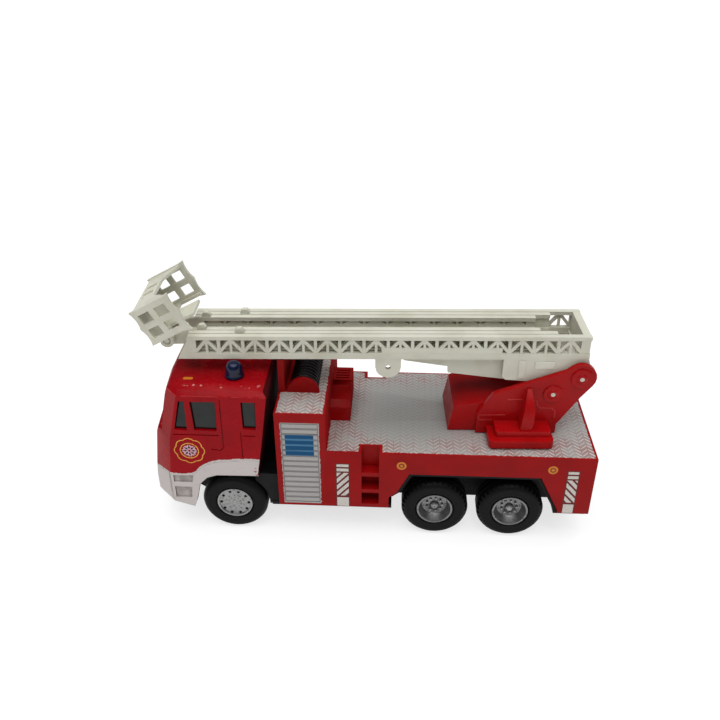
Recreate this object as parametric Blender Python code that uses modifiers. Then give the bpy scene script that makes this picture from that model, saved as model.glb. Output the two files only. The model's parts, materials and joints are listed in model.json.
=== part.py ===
"""A toy ladder fire engine, built piece by piece at its own size.

Sizes are millimetres and MM turns them into metres. On the vehicle, x is counted forward from
the rear end of the body, y to the vehicle's left and z up from the floor. Everything on the
turntable is counted from the turntable's axis on the deck, everything on the ladder from the
lift pin, and everything on the basket from the basket's own pin. Each of those four places is
an empty, and the pieces hang from it, so a moving piece turns or slides about its parent.
"""

import math

import bmesh
import bpy
from mathutils import Matrix

MM = 0.001

QUARTER_TURN = 90

# Clearances between pieces, how deep a fused shape is sunk into its neighbour, how far its faces
# stand back from the neighbour's, and how far a cutter stands out of what it cuts
GAP = 0.3
RUNNING = 0.25
SUNK = 0.5
INSET = 0.2
PAST = 4.0

# Body
BODY_HALF_WIDTH = 24.0
BODY_BOTTOM = 11.7
DECK = 33.9
BOX_TOP = 48.0
BOX_REAR = 84.5
BOX_FRONT = 100.4
NOTCH_REAR = 67.8
NOTCH_FRONT = 73.4
NOTCH_DEPTH = 3.9
NOTCH_BOTTOM = 13.1
# Columns: underside and top of each side step
STEPS = ((17.7, 19.1), (24.4, 25.9))

# Wheels
TYRE_RADIUS = 10.83
TYRE_WIDTH = 8.0
TYRE_FACE = BODY_HALF_WIDTH - 0.8
HUB_RADIUS = 5.8
AXLE_RADIUS = 1.0
FRONT_AXLE = 115.4
REAR_AXLE = 25.0
TYRE_SPACE = 2.84
MIDDLE_AXLE = REAR_AXLE + 2 * TYRE_RADIUS + TYRE_SPACE
WHEEL_STEPS = 24
HUB_STEPS = 16
PIN_SIDES = 12
SHOULDER = 1.3
SHOULDER_WIDTH = 1.9
BEAD_LIP = 0.5
# Columns: radius, distance in from the tyre's outer face
DOME_FACE = ((0.0, -0.45), (2.6, -0.2), (4.8, 0.8), (5.1, 0.1), (HUB_RADIUS, 0.1))
DISH_FACE = ((0.0, 1.5), (1.4, 1.6), (1.7, 2.9), (4.0, 3.1), (5.0, 0.1), (HUB_RADIUS, 0.1))
# Columns: name, place along the vehicle, the hub's face, how far in from the tyre's face the axle ends
AXLES = (
    ("front", FRONT_AXLE, DOME_FACE, 2.4),
    ("middle", MIDDLE_AXLE, DISH_FACE, 4.6),
    ("rear", REAR_AXLE, DISH_FACE, 4.6),
)

# Rear arch, its slopes measured out from the two rear axles
ARCH_TOP = 25.9
ARCH_REAR_LOW = 15.0
ARCH_REAR_TOP = 8.3
ARCH_FRONT_TOP = 8.65
ARCH_FRONT_LOW = 12.6
ARCH_FRONT_FOOT = 15.1
ARCH_FOOT_TOP = 16.0
ARCH_REAR_BEND = 12.6
ARCH_FRONT_BEND = 18.0
# How much of a change of the arch's size its slopes move along the vehicle
ARCH_SLOPE_SHARE = 0.7
LINER_WALL = 0.9

# Chassis
SPINE_SPACE = 3.4
CHASSIS_HALF_WIDTH = TYRE_FACE - TYRE_WIDTH - SPINE_SPACE
CHASSIS_SIDE = BODY_HALF_WIDTH - 1.7
CHASSIS_LOW = 7.6
CHASSIS_REAR = 1.3
CHASSIS_FRONT = 133.0
CHIN_LENGTH = 5.0
CHIN_RISE = 3.5
PLATE_THICKNESS = 1.3
PLATE_FRONT = 103.0
FLOOR_LOW = 22.3
FLOOR_HIGH = 23.0
FLOOR_FRONT = 122.0
GUARD_FRONT = 108.0
WHEEL_ROOM = 0.8
WHEEL_ROOM_STEPS = 48

# Cab
CAB_WALL = 1.6
CORNER_SET_IN = 4.5
# How much of an inset the corner of the nose moves back and in, and the end of the side moves back
CORNER_BACK_SHARE = 0.9
CORNER_IN_SHARE = 0.6
SIDE_END_SHARE = 0.35
NOSE_HALF_WIDTH = BODY_HALF_WIDTH - 15.0
BELT_HEIGHT = 36.8
# Columns: height, rear face, how far the side is set in, end of the side, corner of the nose, nose
CAB_SECTIONS = (
    (8.6, 105.1, 0.0, 135.1, 140.7, 141.7),
    (14.2, 105.1, 0.0, 135.1, 141.1, 142.1),
    (19.4, 105.1, 0.0, 135.1, 141.1, 142.1),
    (24.0, 106.7, 0.0, 135.1, 140.7, 141.7),
    (BELT_HEIGHT, 104.6, 0.0, 133.7, 139.0, 140.0),
    (53.7, 102.9, 0.0, 129.7, 133.8, 134.8),
    (54.9, 103.3, 1.6, 129.1, 133.1, 134.1),
    (55.5, 104.2, 3.9, 128.3, 132.1, 133.1),
)
CAB_TOP = CAB_SECTIONS[-1][0]
CAB_REAR = CAB_SECTIONS[0][1]
CAB_OPEN_BELOW = 2.0
# Outline of what is open below the bumper, in the front arch and behind it: x, z
FRONT_ARCH = (
    (146.0, 0.0),
    (146.0, 15.2),
    (128.6, 9.6),
    (127.75, 11.9),
    (126.0, 19.2),
    (123.4, 21.95),
    (120.1, 23.1),
    (107.9, 23.3),
    (90.0, 23.3),
    (90.0, 0.0),
)
SIDE_WINDOWS = (
    ((129.3, 51.6), (127.5, 51.7), (127.7, 40.7), (131.7, 41.0)),
    ((125.8, 51.5), (118.0, 51.7), (118.4, 40.7), (125.4, 40.9)),
    ((110.1, 51.8), (105.7, 51.8), (106.1, 41.6), (110.1, 41.8)),
)
SCREEN_LOW = 38.6
SCREEN_HIGH = 51.9
SCREEN_LOW_HALF = BODY_HALF_WIDTH - 3.0
SCREEN_HIGH_HALF = BODY_HALF_WIDTH - 4.6
PANE_DEPTH = 0.9
# Lines in the cab's side, each a run of x, z points: front door, rear door, panel below the windows
DOOR_LINES = (
    ((116.5, 52.4), (116.8, 34.4), (117.9, 33.2), (120.9, 33.7)),
    ((110.9, 40.6), (111.0, 30.6)),
    ((132.4, 39.1), (118.0, 39.1)),
    ((110.4, 39.2), (106.4, 39.2)),
)
GROOVE = 0.35
# Recesses in the bumper's side: x, z
BUMPER_PANELS = (
    ((134.4, 22.6), (127.8, 22.7), (128.4, 19.8), (134.4, 19.8)),
    ((134.4, 17.9), (128.7, 17.9), (129.2, 13.4), (134.4, 13.4)),
)
BUMPER_RECESS = 0.5
GRILLE_SLOTS = 4
GRILLE_LOW = 26.6
GRILLE_PITCH = 2.2
GRILLE_SLOT = 1.2
GRILLE_HALF_WIDTH = NOSE_HALF_WIDTH - 0.6
LAMP_LOW = 15.4
LAMP_HIGH = 18.8
LAMP_INNER = BODY_HALF_WIDTH - 12.8
LAMP_OUTER = BODY_HALF_WIDTH - 5.6
FRONT_RECESS = 0.7
GLAZING_WALL = 1.0
GLAZING_LOW = 36.0
GLAZING_OPEN_BELOW = 1.0

# Beacons
BEACON_X = 113.2
BEACON_Y = BODY_HALF_WIDTH - 9.1
BEACON_STEPS = 14
# Columns: radius, height above the seat
BEACON_PROFILE = (
    (0.0, 4.9),
    (1.1, 4.6),
    (1.9, 3.8),
    (2.3, 2.6),
    (2.75, 0.7),
    (3.0, 0.5),
    (3.0, 0.0),
    (0.0, 0.0),
)

# Hose reel and what stands in front of and behind it
REEL_X = 92.45
REEL_Z = BOX_TOP
REEL_RADIUS = 4.7
REEL_GROOVE = 0.45
REEL_WINDINGS = 12
REEL_STEPS = 20
CHEEK_RADIUS = 5.1
CHEEK_OUTER = 12.0
CHEEK_THICKNESS = 1.4
CHEEK_PIECES = 10
BULKHEAD_REAR = 98.3
LOCKER_REAR = 77.9
# Outline of the locker across the vehicle: y, z
LOCKER = ((7.0, 33.0), (7.0, 39.2), (5.0, 41.0), (-3.6, 41.0), (-4.4, 42.6), (-12.4, 42.6), (-12.4, 33.0))
LOUVRES = 4
LOUVRE_START = -10.8
LOUVRE_PITCH = 1.5
LOUVRE_WIDTH = 0.75
LOUVRE_HEIGHT = 0.4
LOUVRE_INSET = 1.0

# Shutter on each side of the tall box
SHUTTER_REAR = 86.8
SHUTTER_FRONT = 98.4
SHUTTER_LOW = 13.0
SHUTTER_HIGH = BOX_TOP - 3.5
SHUTTER_SLATS = 15
SHUTTER_DEPTH = 0.4
SLAT_SHARE = 0.62
SLAT_BACK = 0.1

# Turntable, counted from its axis
TURNTABLE_X = 23.6
SLEW = 2.36
SPIGOT_RADIUS = 4.0
SPIGOT_DEPTH = 3.0
PEDESTAL_HALF_WIDTH = 9.9
ARM_INNER = 9.6
ARM_OUTER = 11.5
PEDESTAL = ((22.9, GAP), (21.4, 8.8), (19.8, 10.0), (8.0, 11.5), (-8.0, 11.5), (-11.6, 3.8), (-11.6, GAP))
ARM_FRONT = ((14.0, GAP), (14.0, 8.0), (9.2, 15.2), (-12.7, 23.4))
ARM_REAR = ((-17.9, 14.0), (-11.6, 3.8), (-11.6, GAP))
LIFT_PIN_X = -17.4
LIFT_PIN_Z = 21.2
LIFT_BOSS_RADIUS = 4.7
LIFT_PIN_RADIUS = 1.2
BOSS_RAISE = 0.6
BOSS_PIECES = 9
BOSS_STEPS = 16
TIE_X = -9.1
TIE_Z = 15.6
TIE_BOSS_RADIUS = 3.0
TIE_PIN_RADIUS = 1.1
PLATFORM_FRONT = 10.8
PLATFORM_REAR = -9.5
PLATFORM_OUTER = 20.1
PLATFORM_TOP = 3.1
SEAT_FRONT = 8.6
SEAT_REAR = -8.7
SEAT_OUTER = 17.6
SEAT_TOP = 5.1
PLATFORM_ROUND = 1.6
SEAT_ROUND = 1.1
ROUND_PIECES = 4
BACKREST_INNER = 10.1
# Columns: height, front, rear and outer side of the backrest
BACKREST = (
    (4.6, 1.0, -2.6, 16.8),
    (8.0, 0.7, -3.1, 17.2),
    (11.6, 0.2, -3.2, 16.5),
    (15.0, -0.4, -2.9, 14.6),
    (17.6, -1.0, -2.3, 12.1),
)
BRIDGE_REAR = -11.0
BRIDGE_FRONT = 10.0
BRIDGE_TOP = 7.5
LIFT_RIM = 1.4

# Ladder, counted from the lift pin
LADDER_HALF_WIDTH = 9.26
RAIL_WIDTH = 1.85
WEB_THICKNESS = 0.9
WEB_RECESS = 0.2
LADDER_LOW = 5.4
LADDER_HIGH = 13.3
TOP_RAIL = 1.3
RUNG_HEIGHT = 1.0
RUNG_WIDTH = 1.3
TRUSS_START = 0.5
TRUSS_END = 119.4
TRUSS_BAYS = 16
RAIL_OVERLAP = 0.3
END_BAR = 1.0
POST_SHARE = 0.8
FRONT_LOW = 124.9
FRONT_SLANT = 3.6
BASE_REAR = -2.0
MID_REAR = 8.0
FLY_REAR = 13.0
GUIDE_HEIGHT = 0.5
GUIDE_REACH = 0.6
BASE_RAIL = 2.1
MID_RAIL = 1.7
FLY_RAIL = 1.7
BASE_BAR = 1.0
INNER_BAR = 0.9
# Rib along the foot of the base section's truss
RAISED_REAR = 24.9
RAISED_FRONT = 62.0
RAISED_TOP = 9.3
EAR_FRONT = 63.9
EAR_REAR = 55.9
EAR_LOW = -1.4
EAR_HOLE_Z = 2.3
EAR_HOLE_RADIUS = 0.9
EYE_PIECES = 8
KEEL_HALF_WIDTH = 6.8
KEEL_WALL = 1.5
KEEL = ((55.0, 6.2), (55.0, 3.6), (41.0, 1.4), (41.0, -0.9), (23.4, -3.2), (12.0, -3.2), (8.0, 6.2))
KEEL_ROOM_REAR = 9.0
BRACKET_FRONT = 24.2
BRACKET_LOW = -2.0
BRACKET_CHAMFER = 1.0
BRACKET_EYE = 3.7
# Columns: rear, front, bottom and top of each raised mark on a bracket
RELIEF_BARS = ((17.4, 19.4, -1.2, 4.9), (8.4, 14.4, 2.2, 4.6))
RELIEF = 0.25
KNOB_HEIGHT = 1.6
KNOB_LENGTH = 2.8
FLY_KNOB_X = 117.6
MID_KNOB_X = 105.6
# The wall in front of the hose reel ends just under the ladder
BULKHEAD_SPACE = 0.6
BULKHEAD_TOP = DECK + LIFT_PIN_Z + LADDER_LOW - BULKHEAD_SPACE

# Basket, upright and counted from its pin
BASKET_PIN_X = 128.3
BASKET_PIN_Z = 10.3
BASKET_TIP = 62.0
BASKET_PIN_RADIUS = 0.9
LUG_RADIUS = 2.2
BASKET_EAR = 1.6
BASKET_HALF_WIDTH = 12.0
BASKET_REAR = 2.5
BASKET_FRONT = 14.8
BASKET_LOW = -2.0
BASKET_HIGH = 11.8
BASKET_WALL = 1.1
# How far the side panels' edges curve in between their posts, as shares of a bay and of the depth
SCALLOP_DEPTH = 0.6
SCALLOP = ((0.0, 0.0), (0.2, 0.65), (0.5, 1.0), (0.8, 0.65))
RIM_FLARE_REAR = 0.8
RIM_FLARE_FRONT = 0.3
RIM_FLARE_HEIGHT = 2.4
PANEL_BAR = 1.9
GATE_HALF_WIDTH = 4.6
REAR_CORNER = 1.2
REAR_RAIL_HIGH = 3.4
# Half of the dip in the front panel's top edge: y, z
FRONT_DIP = ((5.6, 5.0), (8.6, 8.6))
# Recesses in the front panel on each side of its middle: y, z
FRONT_PANEL_Y = (0.4, 4.3)
FRONT_PANEL_Z = (-0.1, 3.8)
PANEL_RECESS = 0.5

COLOURS = {
    "cab_paint": ((0.46, 0.012, 0.02, 1.0), 0.25, 0.0),
    "body_plastic": ((0.58, 0.02, 0.015, 1.0), 0.4, 0.0),
    "turntable_plastic": ((0.58, 0.02, 0.015, 1.0), 0.4, 0.0),
    "ladder_plastic": ((0.72, 0.70, 0.60, 1.0), 0.5, 0.0),
    "chassis_plastic": ((0.012, 0.012, 0.013, 1.0), 0.5, 0.0),
    "tyre_rubber": ((0.015, 0.015, 0.016, 1.0), 0.7, 0.0),
    "hub_chrome": ((0.75, 0.75, 0.76, 1.0), 0.2, 1.0),
    "steel": ((0.6, 0.6, 0.6, 1.0), 0.35, 1.0),
    "beacon_blue": ((0.01, 0.03, 0.12, 1.0), 0.15, 0.0),
    "smoked_glazing": ((0.03, 0.035, 0.04, 1.0), 0.15, 0.0),
}


def clear_scene():
    """Removes every object and collection that the scene starts with."""
    for obj in list(bpy.data.objects):
        bpy.data.objects.remove(obj, do_unlink=True)
    for collection in list(bpy.data.collections):
        bpy.data.collections.remove(collection)


def new_collection(name, hidden=False):
    collection = bpy.data.collections.new(name)
    collection.hide_render = hidden
    bpy.context.scene.collection.children.link(collection)
    return collection


def material(name):
    made = bpy.data.materials.get(name)
    if made is None:
        colour, roughness, metallic = COLOURS[name]
        made = bpy.data.materials.new(name)
        made.use_nodes = True
        shader = made.node_tree.nodes["Principled BSDF"]
        shader.inputs["Base Color"].default_value = colour
        shader.inputs["Roughness"].default_value = roughness
        shader.inputs["Metallic"].default_value = metallic
        made.diffuse_color = colour
    return made


def empty(name, place, parent=None, turn=(0.0, 0.0, 0.0)):
    """An empty at a place in millimetres of its parent, turned by angles in degrees."""
    made = bpy.data.objects.new(name, None)
    made.location = [value * MM for value in place]
    made.rotation_euler = [math.radians(angle) for angle in turn]
    made.parent = parent
    PARTS.objects.link(made)
    return made


def helper(name, bm):
    """A hidden shape from a bmesh in millimetres, to be fused, cut away or made into a node."""
    bmesh.ops.scale(bm, vec=(MM, MM, MM), verts=bm.verts)
    bmesh.ops.recalc_face_normals(bm, faces=bm.faces)
    mesh = bpy.data.meshes.new(name)
    bm.to_mesh(mesh)
    bm.free()
    made = bpy.data.objects.new(name, mesh)
    made.hide_render = True
    made.display_type = "WIRE"
    TOOLS.objects.link(made)
    return made


def add_box(bm, x, y, z):
    """Adds a box to a bmesh from its (low, high) along each axis."""
    centre = [(pair[0] + pair[1]) / 2 for pair in (x, y, z)]
    size = [abs(pair[1] - pair[0]) for pair in (x, y, z)]
    place = Matrix.Translation(centre) @ Matrix.Diagonal((*size, 1.0))
    bmesh.ops.create_cube(bm, size=1.0, matrix=place)


def boxes(name, spans):
    """One helper that holds a box for each (x, y, z) of spans. The boxes don't touch."""
    bm = bmesh.new()
    for x, y, z in spans:
        add_box(bm, x, y, z)
    return helper(name, bm)


def both_sides(low, high):
    """The two spans of y from low to high on the left and on the right."""
    return ((low, high), (-high, -low))


def rods(name, ends, radius, segments=PIN_SIDES):
    """One helper with a cylinder along y for each (x, z, y from, y to) of ends."""
    bm = bmesh.new()
    for x, z, start, end in ends:
        place = Matrix.Translation((x, (start + end) / 2, z)) @ Matrix.Rotation(math.radians(90), 4, "X")
        bmesh.ops.create_cone(
            bm,
            cap_ends=True,
            segments=segments,
            radius1=radius,
            radius2=radius,
            depth=abs(end - start),
            matrix=place,
        )
    return helper(name, bm)


def upright_rod(name, x, y, low, high, radius, segments=BOSS_STEPS):
    """A cylinder along z."""
    bm = bmesh.new()
    place = Matrix.Translation((x, y, (low + high) / 2))
    bmesh.ops.create_cone(
        bm, cap_ends=True, segments=segments, radius1=radius, radius2=radius, depth=high - low, matrix=place
    )
    return helper(name, bm)


def flat_shape(name, outlines, low, high, plane="XZ"):
    """A flat outline, with any holes, given as (first, second) points and made from low to high.

    In the plane XZ its thickness lies along y, in XY along z and in YZ along x.
    """
    curve = bpy.data.curves.new(name, "CURVE")
    curve.dimensions = "2D"
    curve.fill_mode = "BOTH"
    curve.extrude = (high - low) / 2 * MM
    for outline in outlines:
        spline = curve.splines.new("POLY")
        spline.points.add(len(outline) - 1)
        for point, (first, second) in zip(spline.points, outline):
            point.co = (first * MM, second * MM, 0.0, 1.0)
        spline.use_cyclic_u = True
    drawn = bpy.data.objects.new(name, curve)
    TOOLS.objects.link(drawn)
    middle = (low + high) / 2 * MM
    if plane == "XZ":
        drawn.matrix_world = Matrix.Translation((0, middle, 0)) @ Matrix.Rotation(math.radians(90), 4, "X")
    elif plane == "XY":
        drawn.matrix_world = Matrix.Translation((0, 0, middle))
    else:
        drawn.matrix_world = (
            Matrix.Translation((middle, 0, 0))
            @ Matrix.Rotation(math.radians(90), 4, "Z")
            @ Matrix.Rotation(math.radians(90), 4, "X")
        )
    bpy.context.view_layer.update()
    graph = bpy.context.evaluated_depsgraph_get()
    mesh = bpy.data.meshes.new_from_object(drawn.evaluated_get(graph))
    bm = bmesh.new()
    bm.from_mesh(mesh)
    bmesh.ops.remove_doubles(bm, verts=bm.verts, dist=0.001 * MM)
    bmesh.ops.transform(bm, matrix=drawn.matrix_world, verts=bm.verts)
    bmesh.ops.scale(bm, vec=(1 / MM, 1 / MM, 1 / MM), verts=bm.verts)
    bpy.data.objects.remove(drawn, do_unlink=True)
    bpy.data.meshes.remove(mesh)
    return helper(name, bm)


def turned(name, profile, steps=WHEEL_STEPS, closed=False):
    """A turned shape about z. The profile's (radius, z) points run down its outer side."""
    bm = bmesh.new()
    points = [bm.verts.new((radius * MM, 0.0, z * MM)) for radius, z in profile]
    for first, second in zip(points, points[1:]):
        bm.edges.new((first, second))
    if closed:
        bm.edges.new((points[-1], points[0]))
    mesh = bpy.data.meshes.new(name)
    bm.to_mesh(mesh)
    bm.free()
    made = bpy.data.objects.new(name, mesh)
    made.hide_render = True
    made.display_type = "WIRE"
    TOOLS.objects.link(made)
    screw = made.modifiers.new("turn", "SCREW")
    screw.steps = steps
    screw.render_steps = steps
    screw.use_merge_vertices = True
    screw.merge_threshold = 0.00001
    screw.use_smooth_shade = True
    return made


def loft(name, loops):
    """A closed shape bridged through loops of points, lowest first, and capped at both ends."""
    bm = bmesh.new()
    rings = []
    for loop in loops:
        points = [bm.verts.new(place) for place in loop]
        rings.append([bm.edges.new((a, b)) for a, b in zip(points, points[1:] + points[:1])])
    for lower, upper in zip(rings, rings[1:]):
        bmesh.ops.bridge_loops(bm, edges=lower + upper)
    for ring in (rings[0], rings[-1]):
        bmesh.ops.contextual_create(bm, geom=ring)
    return helper(name, bm)


def join_all(node, shapes, operation):
    """Adds one Boolean for each shape, which takes the node's parent."""
    for shape in shapes:
        shape.parent = node.parent
        boolean = node.modifiers.new(shape.name, "BOOLEAN")
        boolean.operation = operation
        boolean.object = shape
        boolean.solver = "EXACT"


def make_node(name, first, colour, parent, added=(), cuts=()):
    """Makes the first shape a node of the model, with shapes fused to it and cut from it."""
    TOOLS.objects.unlink(first)
    PARTS.objects.link(first)
    first.name = name
    first.hide_render = False
    first.display_type = "TEXTURED"
    first.parent = parent
    first.data.materials.append(material(colour))
    join_all(first, added, "UNION")
    join_all(first, cuts, "DIFFERENCE")
    return first


def copy_node(source, name, place, turn):
    """A second object of the same mesh and modifiers, elsewhere on the same parent."""
    made = source.copy()
    made.name = name
    made.location = [value * MM for value in place]
    made.rotation_euler = [math.radians(angle) for angle in turn]
    PARTS.objects.link(made)
    return made


def arc(x, z, radius, start, end, pieces):
    """Points on an arc about (x, z), from one angle to another in degrees."""
    angles = [start + (end - start) * step / pieces for step in range(pieces + 1)]
    return [
        (x + radius * math.cos(math.radians(angle)), z + radius * math.sin(math.radians(angle)))
        for angle in angles
    ]


def tangent_angle(x, z, radius, point, side):
    """Where a line from the point touches the circle about (x, z), as an angle in degrees."""
    away = math.hypot(point[0] - x, point[1] - z)
    towards = math.atan2(point[1] - z, point[0] - x)
    return math.degrees(towards + side * math.acos(radius / away))


def band(points, width):
    """The outline of a line of the given width that runs through the points."""
    left, right = [], []
    for number, (x, z) in enumerate(points):
        before = points[max(number - 1, 0)]
        after = points[min(number + 1, len(points) - 1)]
        along = math.hypot(after[0] - before[0], after[1] - before[1])
        across_x = -(after[1] - before[1]) / along * width / 2
        across_z = (after[0] - before[0]) / along * width / 2
        left.append((x + across_x, z + across_z))
        right.append((x - across_x, z - across_z))
    return left + right[::-1]


def plate(front, rear, inner, outer, corner):
    """The plan of a plate whose two outer corners are rounded: x, y."""
    points = [(rear, inner), (front, inner)]
    points += arc(front - corner, outer - corner, corner, 0, QUARTER_TURN, ROUND_PIECES)
    points += arc(rear + corner, outer - corner, corner, QUARTER_TURN, 2 * QUARTER_TURN, ROUND_PIECES)
    return points


def cab_loops(inset, floor_drop=0.0):
    """The cab's plan at each height, moved in by an inset on every side and below the roof."""
    loops = []
    for height, rear, set_in, side_end, corner, nose in CAB_SECTIONS:
        level = min(height, CAB_TOP - inset)
        capped = level < height
        if height == CAB_SECTIONS[0][0]:
            level -= floor_drop
        half = BODY_HALF_WIDTH - set_in
        half_in = half - inset
        left = [
            (nose - inset, NOSE_HALF_WIDTH),
            (corner - CORNER_BACK_SHARE * inset, half - CORNER_SET_IN - CORNER_IN_SHARE * inset),
            (side_end - SIDE_END_SHARE * inset, half_in),
            (rear + inset, half_in),
        ]
        right = [(x, -y) for x, y in reversed(left)]
        loops.append([(x, y, level) for x, y in left + right])
        if capped:
            break
    return loops


def nose_at(height):
    """Where the nose stands at a height, read between the cab's sections."""
    for lower, upper in zip(CAB_SECTIONS, CAB_SECTIONS[1:]):
        if lower[0] <= height <= upper[0]:
            share = (height - lower[0]) / (upper[0] - lower[0])
            return lower[5] + share * (upper[5] - lower[5])
    return CAB_SECTIONS[0][5]


def screen_outline(shrink=0.0):
    return [
        (-SCREEN_LOW_HALF + shrink, SCREEN_LOW + shrink),
        (SCREEN_LOW_HALF - shrink, SCREEN_LOW + shrink),
        (SCREEN_HIGH_HALF - shrink, SCREEN_HIGH - shrink),
        (-SCREEN_HIGH_HALF + shrink, SCREEN_HIGH - shrink),
    ]


def moved_in(outline, distance):
    """The outline with each corner moved towards its middle by about the distance."""
    middle_x = sum(point[0] for point in outline) / len(outline)
    middle_z = sum(point[1] for point in outline) / len(outline)
    return [
        (x - math.copysign(distance, x - middle_x), z - math.copysign(distance, z - middle_z))
        for x, z in outline
    ]


def build_cab(vehicle):
    hollow = loft("cab_hollow", cab_loops(CAB_WALL, CAB_OPEN_BELOW))
    across = (-BODY_HALF_WIDTH - PAST, BODY_HALF_WIDTH + PAST)
    arch = flat_shape("cab_arch_cut", [FRONT_ARCH], *across)
    cuts = [hollow, arch]
    for number, outline in enumerate(SIDE_WINDOWS):
        cuts.append(flat_shape(f"cab_window_cut_{number}", [outline], *across))
    screen_x = (nose_at(SCREEN_HIGH) - PAST, nose_at(SCREEN_LOW) + PAST)
    cuts.append(flat_shape("cab_screen_cut", [screen_outline()], *screen_x, "YZ"))
    for side, (low, high) in zip(("left", "right"), both_sides(BODY_HALF_WIDTH - GROOVE, across[1])):
        for number, points in enumerate(DOOR_LINES):
            cuts.append(flat_shape(f"cab_line_{side}_{number}", [band(points, GROOVE)], low, high))
    for side, (low, high) in zip(("left", "right"), both_sides(BODY_HALF_WIDTH - BUMPER_RECESS, across[1])):
        cuts.append(flat_shape(f"bumper_panels_{side}", BUMPER_PANELS, low, high))
    slots = []
    for slot in range(GRILLE_SLOTS):
        low = GRILLE_LOW + slot * GRILLE_PITCH
        face = nose_at(low + GRILLE_PITCH / 2)
        span = (-GRILLE_HALF_WIDTH, GRILLE_HALF_WIDTH)
        slots.append(((face - FRONT_RECESS, face + PAST), span, (low, low + GRILLE_SLOT)))
    cuts.append(boxes("cab_grille_cut", slots))
    face = nose_at(LAMP_HIGH)
    lamps = [
        ((face - 2 * FRONT_RECESS, face + PAST), span, (LAMP_LOW, LAMP_HIGH))
        for span in both_sides(LAMP_INNER, LAMP_OUTER)
    ]
    cuts.append(boxes("cab_lamp_cut", lamps))
    make_node("cab", loft("cab_outer", cab_loops(0.0)), "cab_paint", vehicle, cuts=cuts)
    build_glazing(vehicle)
    dome = turned("beacon", BEACON_PROFILE, BEACON_STEPS)
    beacon = make_node("beacon_left", dome, "beacon_blue", vehicle)
    place = (BEACON_X, BEACON_Y, CAB_TOP + GAP)
    beacon.location = [value * MM for value in place]
    copy_node(beacon, "beacon_right", (BEACON_X, -BEACON_Y, CAB_TOP + GAP), (0, 0, 0))


def build_glazing(vehicle):
    """One clear moulding inside the cab, whose panes fill the window openings."""
    outside = CAB_WALL + 2 * GAP
    shell = loft("glazing_shell", cab_loops(outside))
    inner = loft("glazing_inner", cab_loops(outside + GLAZING_WALL, GLAZING_OPEN_BELOW))
    nose_x = (CAB_REAR - PAST, nose_at(LAMP_HIGH) + PAST)
    below = boxes("glazing_below", [(nose_x, (-BODY_HALF_WIDTH, BODY_HALF_WIDTH), (0.0, GLAZING_LOW))])
    panes = []
    for number, outline in enumerate(SIDE_WINDOWS):
        pane = flat_shape(
            f"glazing_pane_{number}",
            [moved_in(outline, GAP)],
            -BODY_HALF_WIDTH,
            BODY_HALF_WIDTH,
        )
        panes.append(pane)
    screen = flat_shape(
        "glazing_screen",
        [screen_outline(GAP)],
        nose_at(SCREEN_HIGH) - 2 * PAST,
        nose_at(SCREEN_LOW) + PAST,
        "YZ",
    )
    panes.append(screen)
    reach = loft("glazing_reach", cab_loops(PANE_DEPTH, CAB_OPEN_BELOW + GLAZING_OPEN_BELOW))
    node = make_node("cab_glazing", shell, "smoked_glazing", vehicle, added=panes)
    trim = node.modifiers.new("inside_cab", "BOOLEAN")
    trim.operation = "INTERSECT"
    trim.object = reach
    trim.solver = "EXACT"
    reach.parent = vehicle
    join_all(node, [inner, below], "DIFFERENCE")


def arch_outline(grow=0.0):
    """The rear arch from the two rear axles: x, z. A negative grow gives the liner's inside."""
    rear = REAR_AXLE
    front = MIDDLE_AXLE
    return [
        (rear - ARCH_REAR_LOW - grow, 0.0),
        (rear - ARCH_REAR_LOW - grow, ARCH_REAR_BEND),
        (rear - ARCH_REAR_TOP - grow * ARCH_SLOPE_SHARE, ARCH_TOP + grow),
        (front + ARCH_FRONT_TOP + grow * ARCH_SLOPE_SHARE, ARCH_TOP + grow),
        (front + ARCH_FRONT_LOW + grow, ARCH_FRONT_BEND),
        (front + ARCH_FRONT_FOOT + grow, ARCH_FOOT_TOP),
        (front + ARCH_FRONT_FOOT + grow, 0.0),
    ]


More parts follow.
